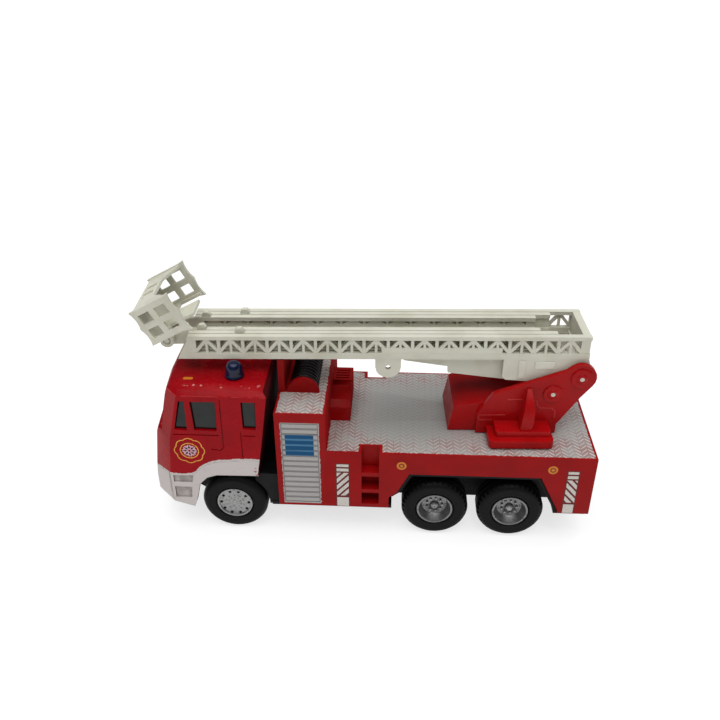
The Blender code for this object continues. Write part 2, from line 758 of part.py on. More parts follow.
def build_body(vehicle):
    wide = (-BODY_HALF_WIDTH, BODY_HALF_WIDTH)
    side = [(0.0, BODY_BOTTOM), (BOX_FRONT, BODY_BOTTOM), (BOX_FRONT, BOX_TOP), (BOX_REAR, BOX_TOP)]
    side += [(BOX_REAR, DECK), (0.0, DECK)]
    hull = flat_shape("body_hull", [side], *wide)
    sunk = BOX_TOP - SUNK
    cheek = arc(REEL_X, REEL_Z, CHEEK_RADIUS, 0, 2 * QUARTER_TURN, CHEEK_PIECES)
    cheek = [(REEL_X + CHEEK_RADIUS, sunk), *cheek, (REEL_X - CHEEK_RADIUS, sunk)]
    added = [flat_shape("locker", [LOCKER], LOCKER_REAR, BOX_REAR + SUNK, "YZ")]
    for name, (low, high) in zip(("left", "right"), both_sides(CHEEK_OUTER - CHEEK_THICKNESS, CHEEK_OUTER)):
        added.append(flat_shape(f"reel_cheek_{name}", [cheek], low, high))
    along = (LOCKER_REAR + LOUVRE_INSET, BOX_REAR - LOUVRE_INSET)
    top = LOCKER[-2][1]
    louvres = []
    for number in range(LOUVRES):
        start = LOUVRE_START + number * LOUVRE_PITCH
        louvres.append((along, (start, start + LOUVRE_WIDTH), (top - SUNK, top + LOUVRE_HEIGHT)))
    added.append(boxes("locker_louvres", louvres))
    bulkhead = ((BULKHEAD_REAR, BOX_FRONT - INSET), (-CHEEK_OUTER, CHEEK_OUTER), (sunk, BULKHEAD_TOP))
    added.append(boxes("reel_bulkhead", [bulkhead]))
    slats = []
    pitch = (SHUTTER_HIGH - SHUTTER_LOW) / SHUTTER_SLATS
    for span in both_sides(BODY_HALF_WIDTH - SHUTTER_DEPTH - GAP, BODY_HALF_WIDTH - SLAT_BACK):
        for slat in range(SHUTTER_SLATS):
            low = SHUTTER_LOW + (slat + (1 - SLAT_SHARE) / 2) * pitch
            slats.append(((SHUTTER_REAR + GAP, SHUTTER_FRONT - GAP), span, (low, low + SLAT_SHARE * pitch)))
    steps = []
    for span in both_sides(BODY_HALF_WIDTH - NOTCH_DEPTH - SUNK, BODY_HALF_WIDTH - SLAT_BACK):
        for low, high in STEPS:
            steps.append(((NOTCH_REAR - SUNK, NOTCH_FRONT + SUNK), span, (low, high)))
    arch = flat_shape("body_arch_cut", [arch_outline()], wide[0] - PAST, wide[1] + PAST)
    recesses = [
        ((SHUTTER_REAR, SHUTTER_FRONT), span, (SHUTTER_LOW, SHUTTER_HIGH))
        for span in both_sides(BODY_HALF_WIDTH - SHUTTER_DEPTH, BODY_HALF_WIDTH + PAST)
    ]
    notches = [
        ((NOTCH_REAR, NOTCH_FRONT), span, (NOTCH_BOTTOM, DECK + PAST))
        for span in both_sides(BODY_HALF_WIDTH - NOTCH_DEPTH, BODY_HALF_WIDTH + PAST)
    ]
    socket_low = DECK - SPIGOT_DEPTH - GAP
    socket = upright_rod("turntable_socket", TURNTABLE_X, 0, socket_low, DECK + PAST, SPIGOT_RADIUS + GAP)
    cuts = [arch, boxes("shutter_recess", recesses), boxes("step_notch", notches), socket]
    node = make_node("body", hull, "body_plastic", vehicle, added=added, cuts=cuts)
    join_all(node, [boxes("shutter_slats", slats), boxes("side_steps", steps)], "UNION")


def build_reel(vehicle):
    """Hose wound on a drum, a rib for each winding, whose lower part the box hides."""
    half = CHEEK_OUTER - CHEEK_THICKNESS - GAP
    pitch = 2 * half / REEL_WINDINGS
    profile = [(0.0, half)]
    for winding in range(REEL_WINDINGS):
        start = half - winding * pitch
        profile.append((REEL_RADIUS - REEL_GROOVE, start))
        profile.append((REEL_RADIUS, start - pitch / 2))
    profile += [(REEL_RADIUS - REEL_GROOVE, -half), (0.0, -half)]
    drum = turned("reel_drum", profile, REEL_STEPS)
    centre = empty("reel_centre", (REEL_X, 0, REEL_Z), vehicle)
    drum.rotation_euler = (math.radians(-90), 0, 0)
    low = BOX_TOP + GAP - REEL_Z
    room = REEL_RADIUS + PAST
    below = boxes("reel_below", [((-room, room), (-half - PAST, half + PAST), (-room, low))])
    make_node("hose_reel", drum, "chassis_plastic", centre, cuts=[below])


def build_wheels(vehicle):
    """Three axles, each with a hub and a tyre at both ends, all turning together."""
    centre = TYRE_FACE - TYRE_WIDTH / 2
    half = TYRE_WIDTH / 2
    radius = TYRE_RADIUS
    bead = HUB_RADIUS + GAP
    tyre_profile = (
        (radius - SHOULDER, half),
        (radius, half - SHOULDER_WIDTH),
        (radius, SHOULDER_WIDTH - half),
        (radius - SHOULDER, -half),
        (bead, -half),
        (bead, half - BEAD_LIP),
        (bead + BEAD_LIP, half),
    )
    bore = AXLE_RADIUS + GAP
    for name, x, face, cover in AXLES:
        axis = empty(f"{name}_axle_axis", (x, 0, TYRE_RADIUS), vehicle)
        bore_end = half - cover
        reach = centre + bore_end - GAP
        make_node(f"{name}_axle", rods("axle", [(0, 0, -reach, reach)], AXLE_RADIUS), "steel", axis)
        hub_profile = [(place, half - depth) for place, depth in face]
        hub_profile += [(HUB_RADIUS, -half), (bore, -half), (bore, bore_end), (0.0, bore_end)]
        hub = make_node(f"{name}_hub_left", turned("hub", hub_profile, HUB_STEPS), "hub_chrome", axis)
        tyre = make_node(f"{name}_tyre_left", turned("tyre", tyre_profile, closed=True), "tyre_rubber", axis)
        for source, right in ((hub, f"{name}_hub_right"), (tyre, f"{name}_tyre_right")):
            source.location = (0, centre * MM, 0)
            source.rotation_euler = (math.radians(-90), 0, 0)
            copy_node(source, right, (0, -centre, 0), (90, 0, 0))


def build_chassis(vehicle):
    """The black base: a spine with the axle bores, side plates, arch liners and mudguards."""
    inside = arch_outline(-GAP - LINER_WALL / 2)
    plate_high = BODY_BOTTOM - GAP
    plate_low = plate_high - PLATE_THICKNESS
    spine_high = plate_high - INSET
    front_high = FLOOR_HIGH - INSET
    front_rear = CAB_REAR - 2 * SUNK
    floor_rear = front_rear - SUNK
    outline = [
        (CHASSIS_REAR, spine_high),
        (CHASSIS_REAR, CHASSIS_LOW),
        (CHASSIS_FRONT - CHIN_LENGTH, CHASSIS_LOW),
        (CHASSIS_FRONT, CHASSIS_LOW + CHIN_RISE),
        (CHASSIS_FRONT, front_high),
        (front_rear, front_high),
        (front_rear, spine_high),
        (inside[-1][0], spine_high),
        *inside[5:0:-1],
        (inside[0][0], spine_high),
    ]
    spine = flat_shape("chassis_spine", [outline], -CHASSIS_HALF_WIDTH, CHASSIS_HALF_WIDTH)
    across = (-CHASSIS_SIDE, CHASSIS_SIDE)
    plates = [
        ((CHASSIS_REAR - GAP, inside[0][0] + INSET), across, (plate_low, plate_high)),
        ((inside[-1][0] - INSET, PLATE_FRONT), across, (plate_low, plate_high)),
    ]
    floor_y = (-CHASSIS_SIDE + GAP, CHASSIS_SIDE - GAP)
    floor = boxes("cab_floor", [((floor_rear, FLOOR_FRONT), floor_y, (FLOOR_LOW, FLOOR_HIGH))])
    outer = arch_outline(-GAP)[1:-1]
    inner = arch_outline(-GAP - LINER_WALL)[1:-1]
    liner_half = BODY_HALF_WIDTH - 2 * GAP
    liner = flat_shape("arch_liner", [outer + inner[::-1]], -liner_half, liner_half)
    guards = [
        ((BOX_FRONT + GAP, GUARD_FRONT), span, (plate_low + GAP, front_high))
        for span in both_sides(CHASSIS_HALF_WIDTH - 2 * SUNK, CHASSIS_SIDE - INSET)
    ]
    added = [boxes("side_plates", plates), floor, liner, boxes("mudguards", guards)]
    rooms = [
        (FRONT_AXLE, TYRE_RADIUS, low, high)
        for low, high in both_sides(CHASSIS_HALF_WIDTH + GAP, BODY_HALF_WIDTH + PAST)
    ]
    front_well = rods("front_wheel_room", rooms, TYRE_RADIUS + WHEEL_ROOM, WHEEL_ROOM_STEPS)
    bore_y = (-CHASSIS_HALF_WIDTH - PAST, CHASSIS_HALF_WIDTH + PAST)
    ends = [(x, TYRE_RADIUS, *bore_y) for _, x, _, _ in AXLES]
    bores = rods("axle_bores", ends, AXLE_RADIUS + GAP)
    make_node("chassis", spine, "chassis_plastic", vehicle, added=added, cuts=[front_well, bores])


def build_turntable(vehicle):
    axis = empty("turntable_axis", (TURNTABLE_X, 0, DECK), vehicle, (0, 0, SLEW))
    pedestal = flat_shape("pedestal", [PEDESTAL], -PEDESTAL_HALF_WIDTH, PEDESTAL_HALF_WIDTH)
    lift = (LIFT_PIN_X, LIFT_PIN_Z, LIFT_BOSS_RADIUS)
    start = tangent_angle(*lift, ARM_FRONT[-1], 1)
    end = tangent_angle(*lift, ARM_REAR[0], -1) % (4 * QUARTER_TURN)
    boss = arc(*lift, start, end, BOSS_PIECES)
    outline = [*ARM_FRONT, *boss, *ARM_REAR]
    added = []
    for name, (low, high) in zip(("left", "right"), both_sides(ARM_INNER, ARM_OUTER)):
        added.append(flat_shape(f"arm_{name}", [outline], low, high))
    span = both_sides(ARM_OUTER - SUNK, ARM_OUTER + BOSS_RAISE)
    lift_bosses = [(LIFT_PIN_X, LIFT_PIN_Z, low, high) for low, high in span]
    tie_bosses = [(TIE_X, TIE_Z, low, high) for low, high in span]
    platform = plate(PLATFORM_FRONT, PLATFORM_REAR, ARM_INNER + INSET, PLATFORM_OUTER, PLATFORM_ROUND)
    seat = plate(SEAT_FRONT, SEAT_REAR, ARM_INNER + GAP, SEAT_OUTER, SEAT_ROUND)
    back = []
    for height, front, rear, outer in BACKREST:
        corners = ((front, BACKREST_INNER), (front, outer), (rear, outer), (rear, BACKREST_INNER))
        back.append([(x, y, height) for x, y in corners])
    across = (-ARM_INNER - SUNK, ARM_INNER + SUNK)
    added += [
        rods("lift_bosses", lift_bosses, LIFT_BOSS_RADIUS - LIFT_RIM, BOSS_STEPS),
        rods("tie_bosses", tie_bosses, TIE_BOSS_RADIUS),
        flat_shape("platform", [platform], GAP + INSET, PLATFORM_TOP, "XY"),
        flat_shape("seat", [seat], PLATFORM_TOP - SUNK, SEAT_TOP, "XY"),
        loft("backrest", back),
        upright_rod("spigot", 0, 0, -SPIGOT_DEPTH, 2 * SUNK, SPIGOT_RADIUS),
        boxes("arm_bridge", [((BRIDGE_REAR, BRIDGE_FRONT), across, (GAP + INSET, BRIDGE_TOP))]),
    ]
    pin_end = ARM_OUTER + BOSS_RAISE + INSET
    # Columns: name, place along and above the turntable, radius
    pins = (("lift_pin", LIFT_PIN_X, LIFT_PIN_Z, LIFT_PIN_RADIUS), ("tie_pin", TIE_X, TIE_Z, TIE_PIN_RADIUS))
    holes = []
    for name, x, z, radius in pins:
        make_node(name, rods(name, [(x, z, -pin_end, pin_end)], radius), "ladder_plastic", axis)
        holes.append(rods(f"{name}_hole", [(x, z, -pin_end - PAST, pin_end + PAST)], radius + RUNNING))
    make_node("turntable", pedestal, "turntable_plastic", axis, added=added, cuts=holes)
    return empty("lift_axis", (LIFT_PIN_X, 0, LIFT_PIN_Z), axis)


def front_at(height):
    """Where the ladder's slanted front end stands at a height above the lift pin."""
    return FRONT_LOW - FRONT_SLANT * (height - LADDER_LOW) / (LADDER_HIGH - LADDER_LOW)


def truss_holes(rail_top, high, bar, inner, raised):
    """The triangular openings of a side truss: x, z outlines, two or four in each bay."""
    pitch = (TRUSS_END - TRUSS_START) / TRUSS_BAYS
    half = pitch / 2
    slope = (high - rail_top) / half
    lean = bar / 2 * math.hypot(half, high - rail_top) / (high - rail_top)
    edge = bar / 2
    holes = []
    for bay in range(TRUSS_BAYS):
        middle = TRUSS_START + (bay + 0.5) * pitch
        low = rail_top
        if raised and raised[0] < middle - half and middle + half < raised[1]:
            low = raised[2]
        for side in (-1, 1):
            outer = middle + side * (half - edge)
            corner = middle + side * lean
            foot = max(rail_top + (edge + lean) * slope, low - RAIL_OVERLAP)
            sunk = corner - side * RAIL_OVERLAP / slope
            holes.append([(outer, high + RAIL_OVERLAP), (sunk, high + RAIL_OVERLAP), (outer, foot)])
            if inner:
                post = middle + side * edge * POST_SHARE
                top = high - (edge * POST_SHARE + lean) * slope
                rise = low - rail_top
                foot_x = middle + side * (half - lean + (RAIL_OVERLAP - rise) / slope)
                holes.append([(foot_x, low - RAIL_OVERLAP), (post, low - RAIL_OVERLAP), (post, top)])
    return holes


def ladder_section(name, outer, low, bottom_rail, rear, bar, inner, raised=None):
    """One nesting section of the ladder: two truss sides, four rails and the rungs between.

    Raised is the rear, the front and the top of a rib that closes the foot of the truss.
    """
    web_low = low + RAIL_OVERLAP
    web_high = LADDER_HIGH - RAIL_OVERLAP
    truss_low = low + bottom_rail
    truss_high = LADDER_HIGH - TOP_RAIL
    edge = [(rear + INSET, web_low), (front_at(web_low) - RAIL_OVERLAP, web_low)]
    edge += [(front_at(web_high) - RAIL_OVERLAP, web_high), (rear + INSET, web_high)]
    holes = truss_holes(truss_low, truss_high, bar, inner, raised)
    holes = [hole for hole in holes if min(point[0] for point in hole) > rear + END_BAR]
    sides = []
    face = outer - WEB_RECESS
    for side, (y_low, y_high) in zip(("left", "right"), both_sides(face - WEB_THICKNESS, face)):
        sides.append(flat_shape(f"{name}_web_{side}", [edge, *holes], y_low, y_high))
    added = [sides[1]]
    top = [
        (rear, truss_high),
        (front_at(truss_high), truss_high),
        (front_at(LADDER_HIGH), LADDER_HIGH),
        (rear, LADDER_HIGH),
    ]
    bottom = [(rear, low), (front_at(low), low), (front_at(truss_low), truss_low), (rear, truss_low)]
    for side, (y_low, y_high) in zip(("left", "right"), both_sides(outer - RAIL_WIDTH, outer)):
        for rail, outline in (("top", top), ("bottom", bottom)):
            added.append(flat_shape(f"{name}_{rail}_rail_{side}", [outline], y_low, y_high))
    pitch = (TRUSS_END - TRUSS_START) / TRUSS_BAYS
    rungs = []
    rung_y = (-outer + RAIL_WIDTH / 2, outer - RAIL_WIDTH / 2)
    rung_z = (low + INSET / 2, low + RUNG_HEIGHT)
    for number in range(TRUSS_BAYS + 1):
        x = TRUSS_START + number * pitch
        if x > rear + RUNG_WIDTH:
            rungs.append(((x - RUNG_WIDTH / 2, x + RUNG_WIDTH / 2), rung_y, rung_z))
    added.append(boxes(f"{name}_rungs", rungs))
    return sides[0], added


def guide_ribs(name, outer, rear, ledge):
    """A rib outside each side of an inner section, which runs on the ledge of the outer one."""
    span_x = (rear + END_BAR, TRUSS_END - END_BAR)
    height = (ledge + GAP, ledge + GAP + GUIDE_HEIGHT)
    return boxes(name, [(span_x, span, height) for span in both_sides(outer - SUNK, outer + GUIDE_REACH)])


def knobs(name, x, outer):
    """A round-topped stop on each top rail of a section."""
    half = KNOB_LENGTH / 2
    foot = LADDER_HIGH - SUNK
    shoulder = LADDER_HIGH + KNOB_HEIGHT / 2
    top = LADDER_HIGH + KNOB_HEIGHT
    outline = [(x - half, foot), (x - half, shoulder), (x - half / 2, top)]
    outline += [(x + half / 2, top), (x + half, shoulder), (x + half, foot)]
    made = []
    spans = both_sides(outer - RAIL_WIDTH + INSET, outer - INSET / 2)
    for side, (low, high) in zip(("left", "right"), spans):
        made.append(flat_shape(f"{name}_{side}", [outline], low, high))
    return made


def build_base_section(lift):
    outer = LADDER_HALF_WIDTH
    low = LADDER_LOW
    rear = BASE_REAR
    rib = (RAISED_REAR, RAISED_FRONT, RAISED_TOP)
    first, added = ladder_section("base", outer, low, BASE_RAIL, rear, BASE_BAR, True, rib)
    spans = both_sides(outer - WEB_RECESS - WEB_THICKNESS + INSET / 2, outer - INSET / 2)
    rib_z = (low + BASE_RAIL - SUNK, RAISED_TOP)
    added.append(boxes("raised_ribs", [((RAISED_REAR, RAISED_FRONT), span, rib_z) for span in spans]))
    frame_y = (-outer + SUNK, outer - SUNK)
    frame_z = (low + INSET / 2, LADDER_HIGH - INSET / 2)
    added.append(boxes("rear_frame", [((rear + INSET / 2, TRUSS_START), frame_y, frame_z)]))
    ear_radius = (EAR_FRONT - EAR_REAR) / 2
    ear_x = (EAR_FRONT + EAR_REAR) / 2
    ear = [(EAR_FRONT, low + SUNK), (EAR_REAR, low + SUNK)]
    ear += arc(ear_x, EAR_LOW + ear_radius, ear_radius, 2 * QUARTER_TURN, 4 * QUARTER_TURN, EYE_PIECES)
    bracket = [
        (BRACKET_FRONT, low + 2 * SUNK),
        (rear + GAP, low + 2 * SUNK),
        *arc(0, 0, BRACKET_EYE, 2 * QUARTER_TURN, 3 * QUARTER_TURN, EYE_PIECES),
        (BRACKET_FRONT - BRACKET_CHAMFER, BRACKET_LOW),
        (BRACKET_FRONT, BRACKET_LOW + BRACKET_CHAMFER),
    ]
    spans = both_sides(outer - RAIL_WIDTH + INSET, outer - INSET / 2)
    for name, (y_low, y_high) in zip(("left", "right"), spans):
        added.append(flat_shape(f"ear_{name}", [ear], y_low, y_high))
        added.append(flat_shape(f"bracket_{name}", [bracket], y_low, y_high))
    added.append(flat_shape("keel", [KEEL], -KEEL_HALF_WIDTH, KEEL_HALF_WIDTH))
    marks = []
    for span in both_sides(outer - SUNK, outer + RELIEF):
        marks += [((bar[0], bar[1]), span, (bar[2], bar[3])) for bar in RELIEF_BARS]
    added.append(boxes("bracket_marks", marks))
    reach = outer + PAST
    room_y = (-KEEL_HALF_WIDTH + KEEL_WALL, KEEL_HALF_WIDTH - KEEL_WALL)
    room = ((KEEL_ROOM_REAR, KEEL[0][0] + 2 * SUNK), room_y, (KEEL[3][1] - 2 * PAST, low))
    cuts = [
        boxes("keel_room", [room]),
        rods("ear_holes", [(ear_x, EAR_HOLE_Z, -reach, reach)], EAR_HOLE_RADIUS, EYE_PIECES),
        rods("lift_pin_bore", [(0, 0, -reach, reach)], LIFT_PIN_RADIUS + RUNNING),
    ]
    make_node("ladder_base", first, "ladder_plastic", lift, added=added, cuts=cuts)


def build_mid_section(lift):
    outer = LADDER_HALF_WIDTH - RAIL_WIDTH - GAP
    low = LADDER_LOW + RUNG_HEIGHT + GAP
    first, added = ladder_section("mid", outer, low, MID_RAIL, MID_REAR, INNER_BAR, False)
    added.append(guide_ribs("mid_guides", outer, MID_REAR, LADDER_LOW + BASE_RAIL))
    added += knobs("mid_knob", MID_KNOB_X, outer)
    make_node("ladder_mid", first, "ladder_plastic", lift, added=added)


def build_fly_section(lift):
    outer = LADDER_HALF_WIDTH - 2 * (RAIL_WIDTH + GAP)
    low = LADDER_LOW + 2 * (RUNG_HEIGHT + GAP)
    lug = arc(BASKET_PIN_X, BASKET_PIN_Z, LUG_RADIUS, -QUARTER_TURN, QUARTER_TURN, EYE_PIECES)
    first, added = ladder_section("fly", outer, low, FLY_RAIL, FLY_REAR, INNER_BAR, False)
    tip_rear = TRUSS_END - END_BAR
    tip = [(tip_rear, low + 2 * INSET), *lug, (tip_rear, LADDER_HIGH - 2 * INSET)]
    spans = both_sides(outer - RAIL_WIDTH + INSET, outer - INSET / 2)
    for name, (y_low, y_high) in zip(("left", "right"), spans):
        added.append(flat_shape(f"fly_lug_{name}", [tip], y_low, y_high))
    ledge = LADDER_LOW + RUNG_HEIGHT + GAP + MID_RAIL
    added.append(guide_ribs("fly_guides", outer, FLY_REAR, ledge))
    added += knobs("fly_knob", FLY_KNOB_X, outer)
    end = outer + PAST
    hole = rods("fly_pin_bore", [(BASKET_PIN_X, BASKET_PIN_Z, -end, end)], BASKET_PIN_RADIUS + RUNNING)
    make_node("ladder_fly", first, "ladder_plastic", lift, added=added, cuts=[hole])
    ear_end = outer + GAP + BASKET_EAR
    pin = rods("basket_pin", [(BASKET_PIN_X, BASKET_PIN_Z, -ear_end, ear_end)], BASKET_PIN_RADIUS)
    make_node("basket_pin", pin, "ladder_plastic", lift)
    return outer


def panel_windows(x_low, x_high, z_low, z_high):
    """Two rows of two openings in a panel, as outlines."""
    middle_x = (x_low + x_high) / 2
    middle_z = (z_low + z_high) / 2
    half = PANEL_BAR / 2
    openings = []
    for left, right in ((x_low + PANEL_BAR, middle_x - half), (middle_x + half, x_high - PANEL_BAR)):
        for bottom, top in ((z_low + PANEL_BAR, middle_z - half), (middle_z + half, z_high - PANEL_BAR)):
            openings.append([(left, bottom), (right, bottom), (right, top), (left, top)])
    return openings


def scalloped(start, end, level, depth):
    """An edge of two bays that curves in between its posts: x, z points without the last one."""
    points = []
    bay = (end - start) / 2
    for number in range(2):
        points += [(start + (number + share) * bay, level + sink * depth) for share, sink in SCALLOP]
    return points


def basket_side():
    """The outline of a side panel, its two long edges scalloped: x, z."""
    rim_front = BASKET_FRONT + RIM_FLARE_FRONT
    rim_rear = BASKET_REAR - RIM_FLARE_REAR
    points = scalloped(BASKET_REAR, BASKET_FRONT, BASKET_LOW, SCALLOP_DEPTH)
    points += [(BASKET_FRONT, BASKET_LOW), (BASKET_FRONT, BASKET_HIGH - RIM_FLARE_HEIGHT)]
    points += scalloped(rim_front, rim_rear, BASKET_HIGH, -SCALLOP_DEPTH)
    points += [(rim_rear, BASKET_HIGH), (BASKET_REAR, BASKET_HIGH - RIM_FLARE_HEIGHT)]
    return points


def build_basket(lift, lug_outer):
    pin = empty("basket_axis", (BASKET_PIN_X, 0, BASKET_PIN_Z), lift, (0, -BASKET_TIP, 0))
    wide = BASKET_HALF_WIDTH
    wall = BASKET_WALL
    floor_low = BASKET_LOW + SCALLOP_DEPTH + INSET
    within = wide - INSET
    windows = panel_windows(BASKET_REAR, BASKET_FRONT, BASKET_LOW, BASKET_HIGH - SCALLOP_DEPTH)
    sides = []
    for name, (y_low, y_high) in zip(("left", "right"), both_sides(wide - wall, wide)):
        sides.append(flat_shape(f"basket_side_{name}", [basket_side(), *windows], y_low, y_high))
    floor_x = (BASKET_REAR + 2 * INSET, BASKET_FRONT - 2 * INSET)
    floor_y = (-within + INSET / 2, within - INSET / 2)
    floor = boxes("basket_floor", [(floor_x, floor_y, (floor_low, floor_low + wall - INSET))])
    rim = BASKET_HIGH - SCALLOP_DEPTH - INSET
    low = floor_low + INSET
    dip = [(within, rim), FRONT_DIP[1], FRONT_DIP[0]]
    front = [(-within, low), (within, low), *dip, *[(-y, z) for y, z in reversed(dip)]]
    front_x = (BASKET_FRONT - wall, BASKET_FRONT - INSET)
    gate = (GATE_HALF_WIDTH, BASKET_HIGH)
    step = (GATE_HALF_WIDTH, REAR_RAIL_HIGH)
    corner = wide - wall - REAR_CORNER
    half = [(within, low), (within, rim), (corner, rim), (corner, REAR_RAIL_HIGH), step, gate]
    rear = [*half, *[(-y, z) for y, z in reversed(half)]]
    rear_x = (BASKET_REAR + INSET, BASKET_REAR + wall)
    ear_end = BASKET_REAR + INSET + SUNK
    eye = arc(0, 0, LUG_RADIUS, QUARTER_TURN, 3 * QUARTER_TURN, EYE_PIECES)
    ear = [(ear_end, LUG_RADIUS), *eye, (ear_end, low + INSET)]
    added = [sides[1], floor]
    added.append(flat_shape("basket_front", [front], *front_x, "YZ"))
    added.append(flat_shape("basket_rear", [rear], *rear_x, "YZ"))
    ear_y = lug_outer + GAP
    for name, (y_low, y_high) in zip(("left", "right"), both_sides(ear_y, ear_y + BASKET_EAR)):
        added.append(flat_shape(f"basket_ear_{name}", [ear], y_low, y_high))
    recess_x = (front_x[1] - PANEL_RECESS, front_x[1] + PAST)
    panels = [(recess_x, span, FRONT_PANEL_Z) for span in both_sides(*FRONT_PANEL_Y)]
    cuts = [
        boxes("basket_front_panels", panels),
        rods("basket_pin_bore", [(0, 0, -wide, wide)], BASKET_PIN_RADIUS + RUNNING),
    ]
    make_node("basket", sides[0], "ladder_plastic", pin, added=added, cuts=cuts)


def overall_length():
    """From the body's rear end to the foremost corner of the tipped basket."""
    slew = math.radians(SLEW)
    tip = math.radians(BASKET_TIP)
    along = LIFT_PIN_X + BASKET_PIN_X + BASKET_FRONT * math.cos(tip) - BASKET_LOW * math.sin(tip)
    return TURNTABLE_X + along * math.cos(slew) + BASKET_HALF_WIDTH * math.sin(slew)


def main():
    vehicle = empty("vehicle", (-overall_length() / 2, 0, 0))
    build_cab(vehicle)
    build_body(vehicle)
    build_reel(vehicle)
    build_chassis(vehicle)
    build_wheels(vehicle)
    lift = build_turntable(vehicle)
    build_base_section(lift)
    build_mid_section(lift)
    lug_outer = build_fly_section(lift)
    build_basket(lift, lug_outer)


clear_scene()
PARTS = new_collection("ladder_fire_engine")
TOOLS = new_collection("shaping_tools", hidden=True)
main()
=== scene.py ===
"""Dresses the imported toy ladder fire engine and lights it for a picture.

Each sub-assembly is a class with its own sizes. Sizes are millimetres in the model's frame, with
+X towards the cab, +Y to the vehicle's left and +Z up from the floor, and MM turns them into
metres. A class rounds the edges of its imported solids, adds the pieces that are finer than they
are, such as hose, hubs, treads and printed marks, and gives each one its finish.
"""

import json
import logging
import math
from collections.abc import Iterable, Sequence
from dataclasses import dataclass, replace
from enum import Enum
from functools import cache
from typing import Protocol

import bmesh
import bpy
from mathutils import Matrix, Vector

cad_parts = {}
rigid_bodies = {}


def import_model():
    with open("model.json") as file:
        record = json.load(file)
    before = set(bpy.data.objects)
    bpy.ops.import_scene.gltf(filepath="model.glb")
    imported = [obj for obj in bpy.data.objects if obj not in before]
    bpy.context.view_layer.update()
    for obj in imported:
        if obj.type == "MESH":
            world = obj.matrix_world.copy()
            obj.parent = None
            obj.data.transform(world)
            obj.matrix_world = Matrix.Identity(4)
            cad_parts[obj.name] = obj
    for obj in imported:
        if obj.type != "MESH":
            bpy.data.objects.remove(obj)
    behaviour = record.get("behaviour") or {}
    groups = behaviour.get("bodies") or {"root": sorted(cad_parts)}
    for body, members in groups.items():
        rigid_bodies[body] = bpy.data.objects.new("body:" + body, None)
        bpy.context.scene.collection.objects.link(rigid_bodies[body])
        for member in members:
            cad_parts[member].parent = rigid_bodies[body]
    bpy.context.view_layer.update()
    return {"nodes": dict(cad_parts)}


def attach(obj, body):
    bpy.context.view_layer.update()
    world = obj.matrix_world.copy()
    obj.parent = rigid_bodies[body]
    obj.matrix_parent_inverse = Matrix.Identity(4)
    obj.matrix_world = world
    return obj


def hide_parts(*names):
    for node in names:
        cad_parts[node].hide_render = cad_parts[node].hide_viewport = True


MM = 0.001
# A printed mark lies with its back this deep in the panel
INK_SUNK = 0.03
# Corners closer together than this are made one, in a built shape and in a packed one
SAME_CORNER = 0.0005
SAME_PACKED_CORNER = 0.002
# A face turned back by more than these shares lies in the slits that light only grazes
LOOKS_BACK = (-0.4, -0.8)
# Node types that the finishes are drawn with
MATHS = "ShaderNodeMath"
VECTOR = "ShaderNodeVectorMath"
RANGE = "ShaderNodeMapRange"
MIX = "ShaderNodeMix"
NOISE = "ShaderNodeTexNoise"
AXES = "ShaderNodeSeparateXYZ"
BUMP = "ShaderNodeBump"
SOFT = {"interpolation_type": "SMOOTHSTEP"}
Point = tuple[float, float]
Place = tuple[float, float, float]
Socket = bpy.types.NodeSocket
Shape = bmesh.types.BMesh
Nodes = dict[str, bpy.types.Object]
log = logging.getLogger("fire_engine")


class Side(Enum):
    """The two sides of the vehicle."""

    LEFT = 1
    RIGHT = -1


def linear(code: str) -> tuple[float, float, float, float]:
    """Turns an sRGB hex colour into linear red, green, blue and alpha.

    Args:
        code: the colour as six hex digits.

    Returns:
        The linear colour with an alpha of 1.
    """
    parts = [int(code[place : place + 2], 16) / 255 for place in (0, 2, 4)]
    red, green, blue = (p / 12.92 if p <= 0.04045 else ((p + 0.055) / 1.055) ** 2.4 for p in parts)
    return red, green, blue, 1.0


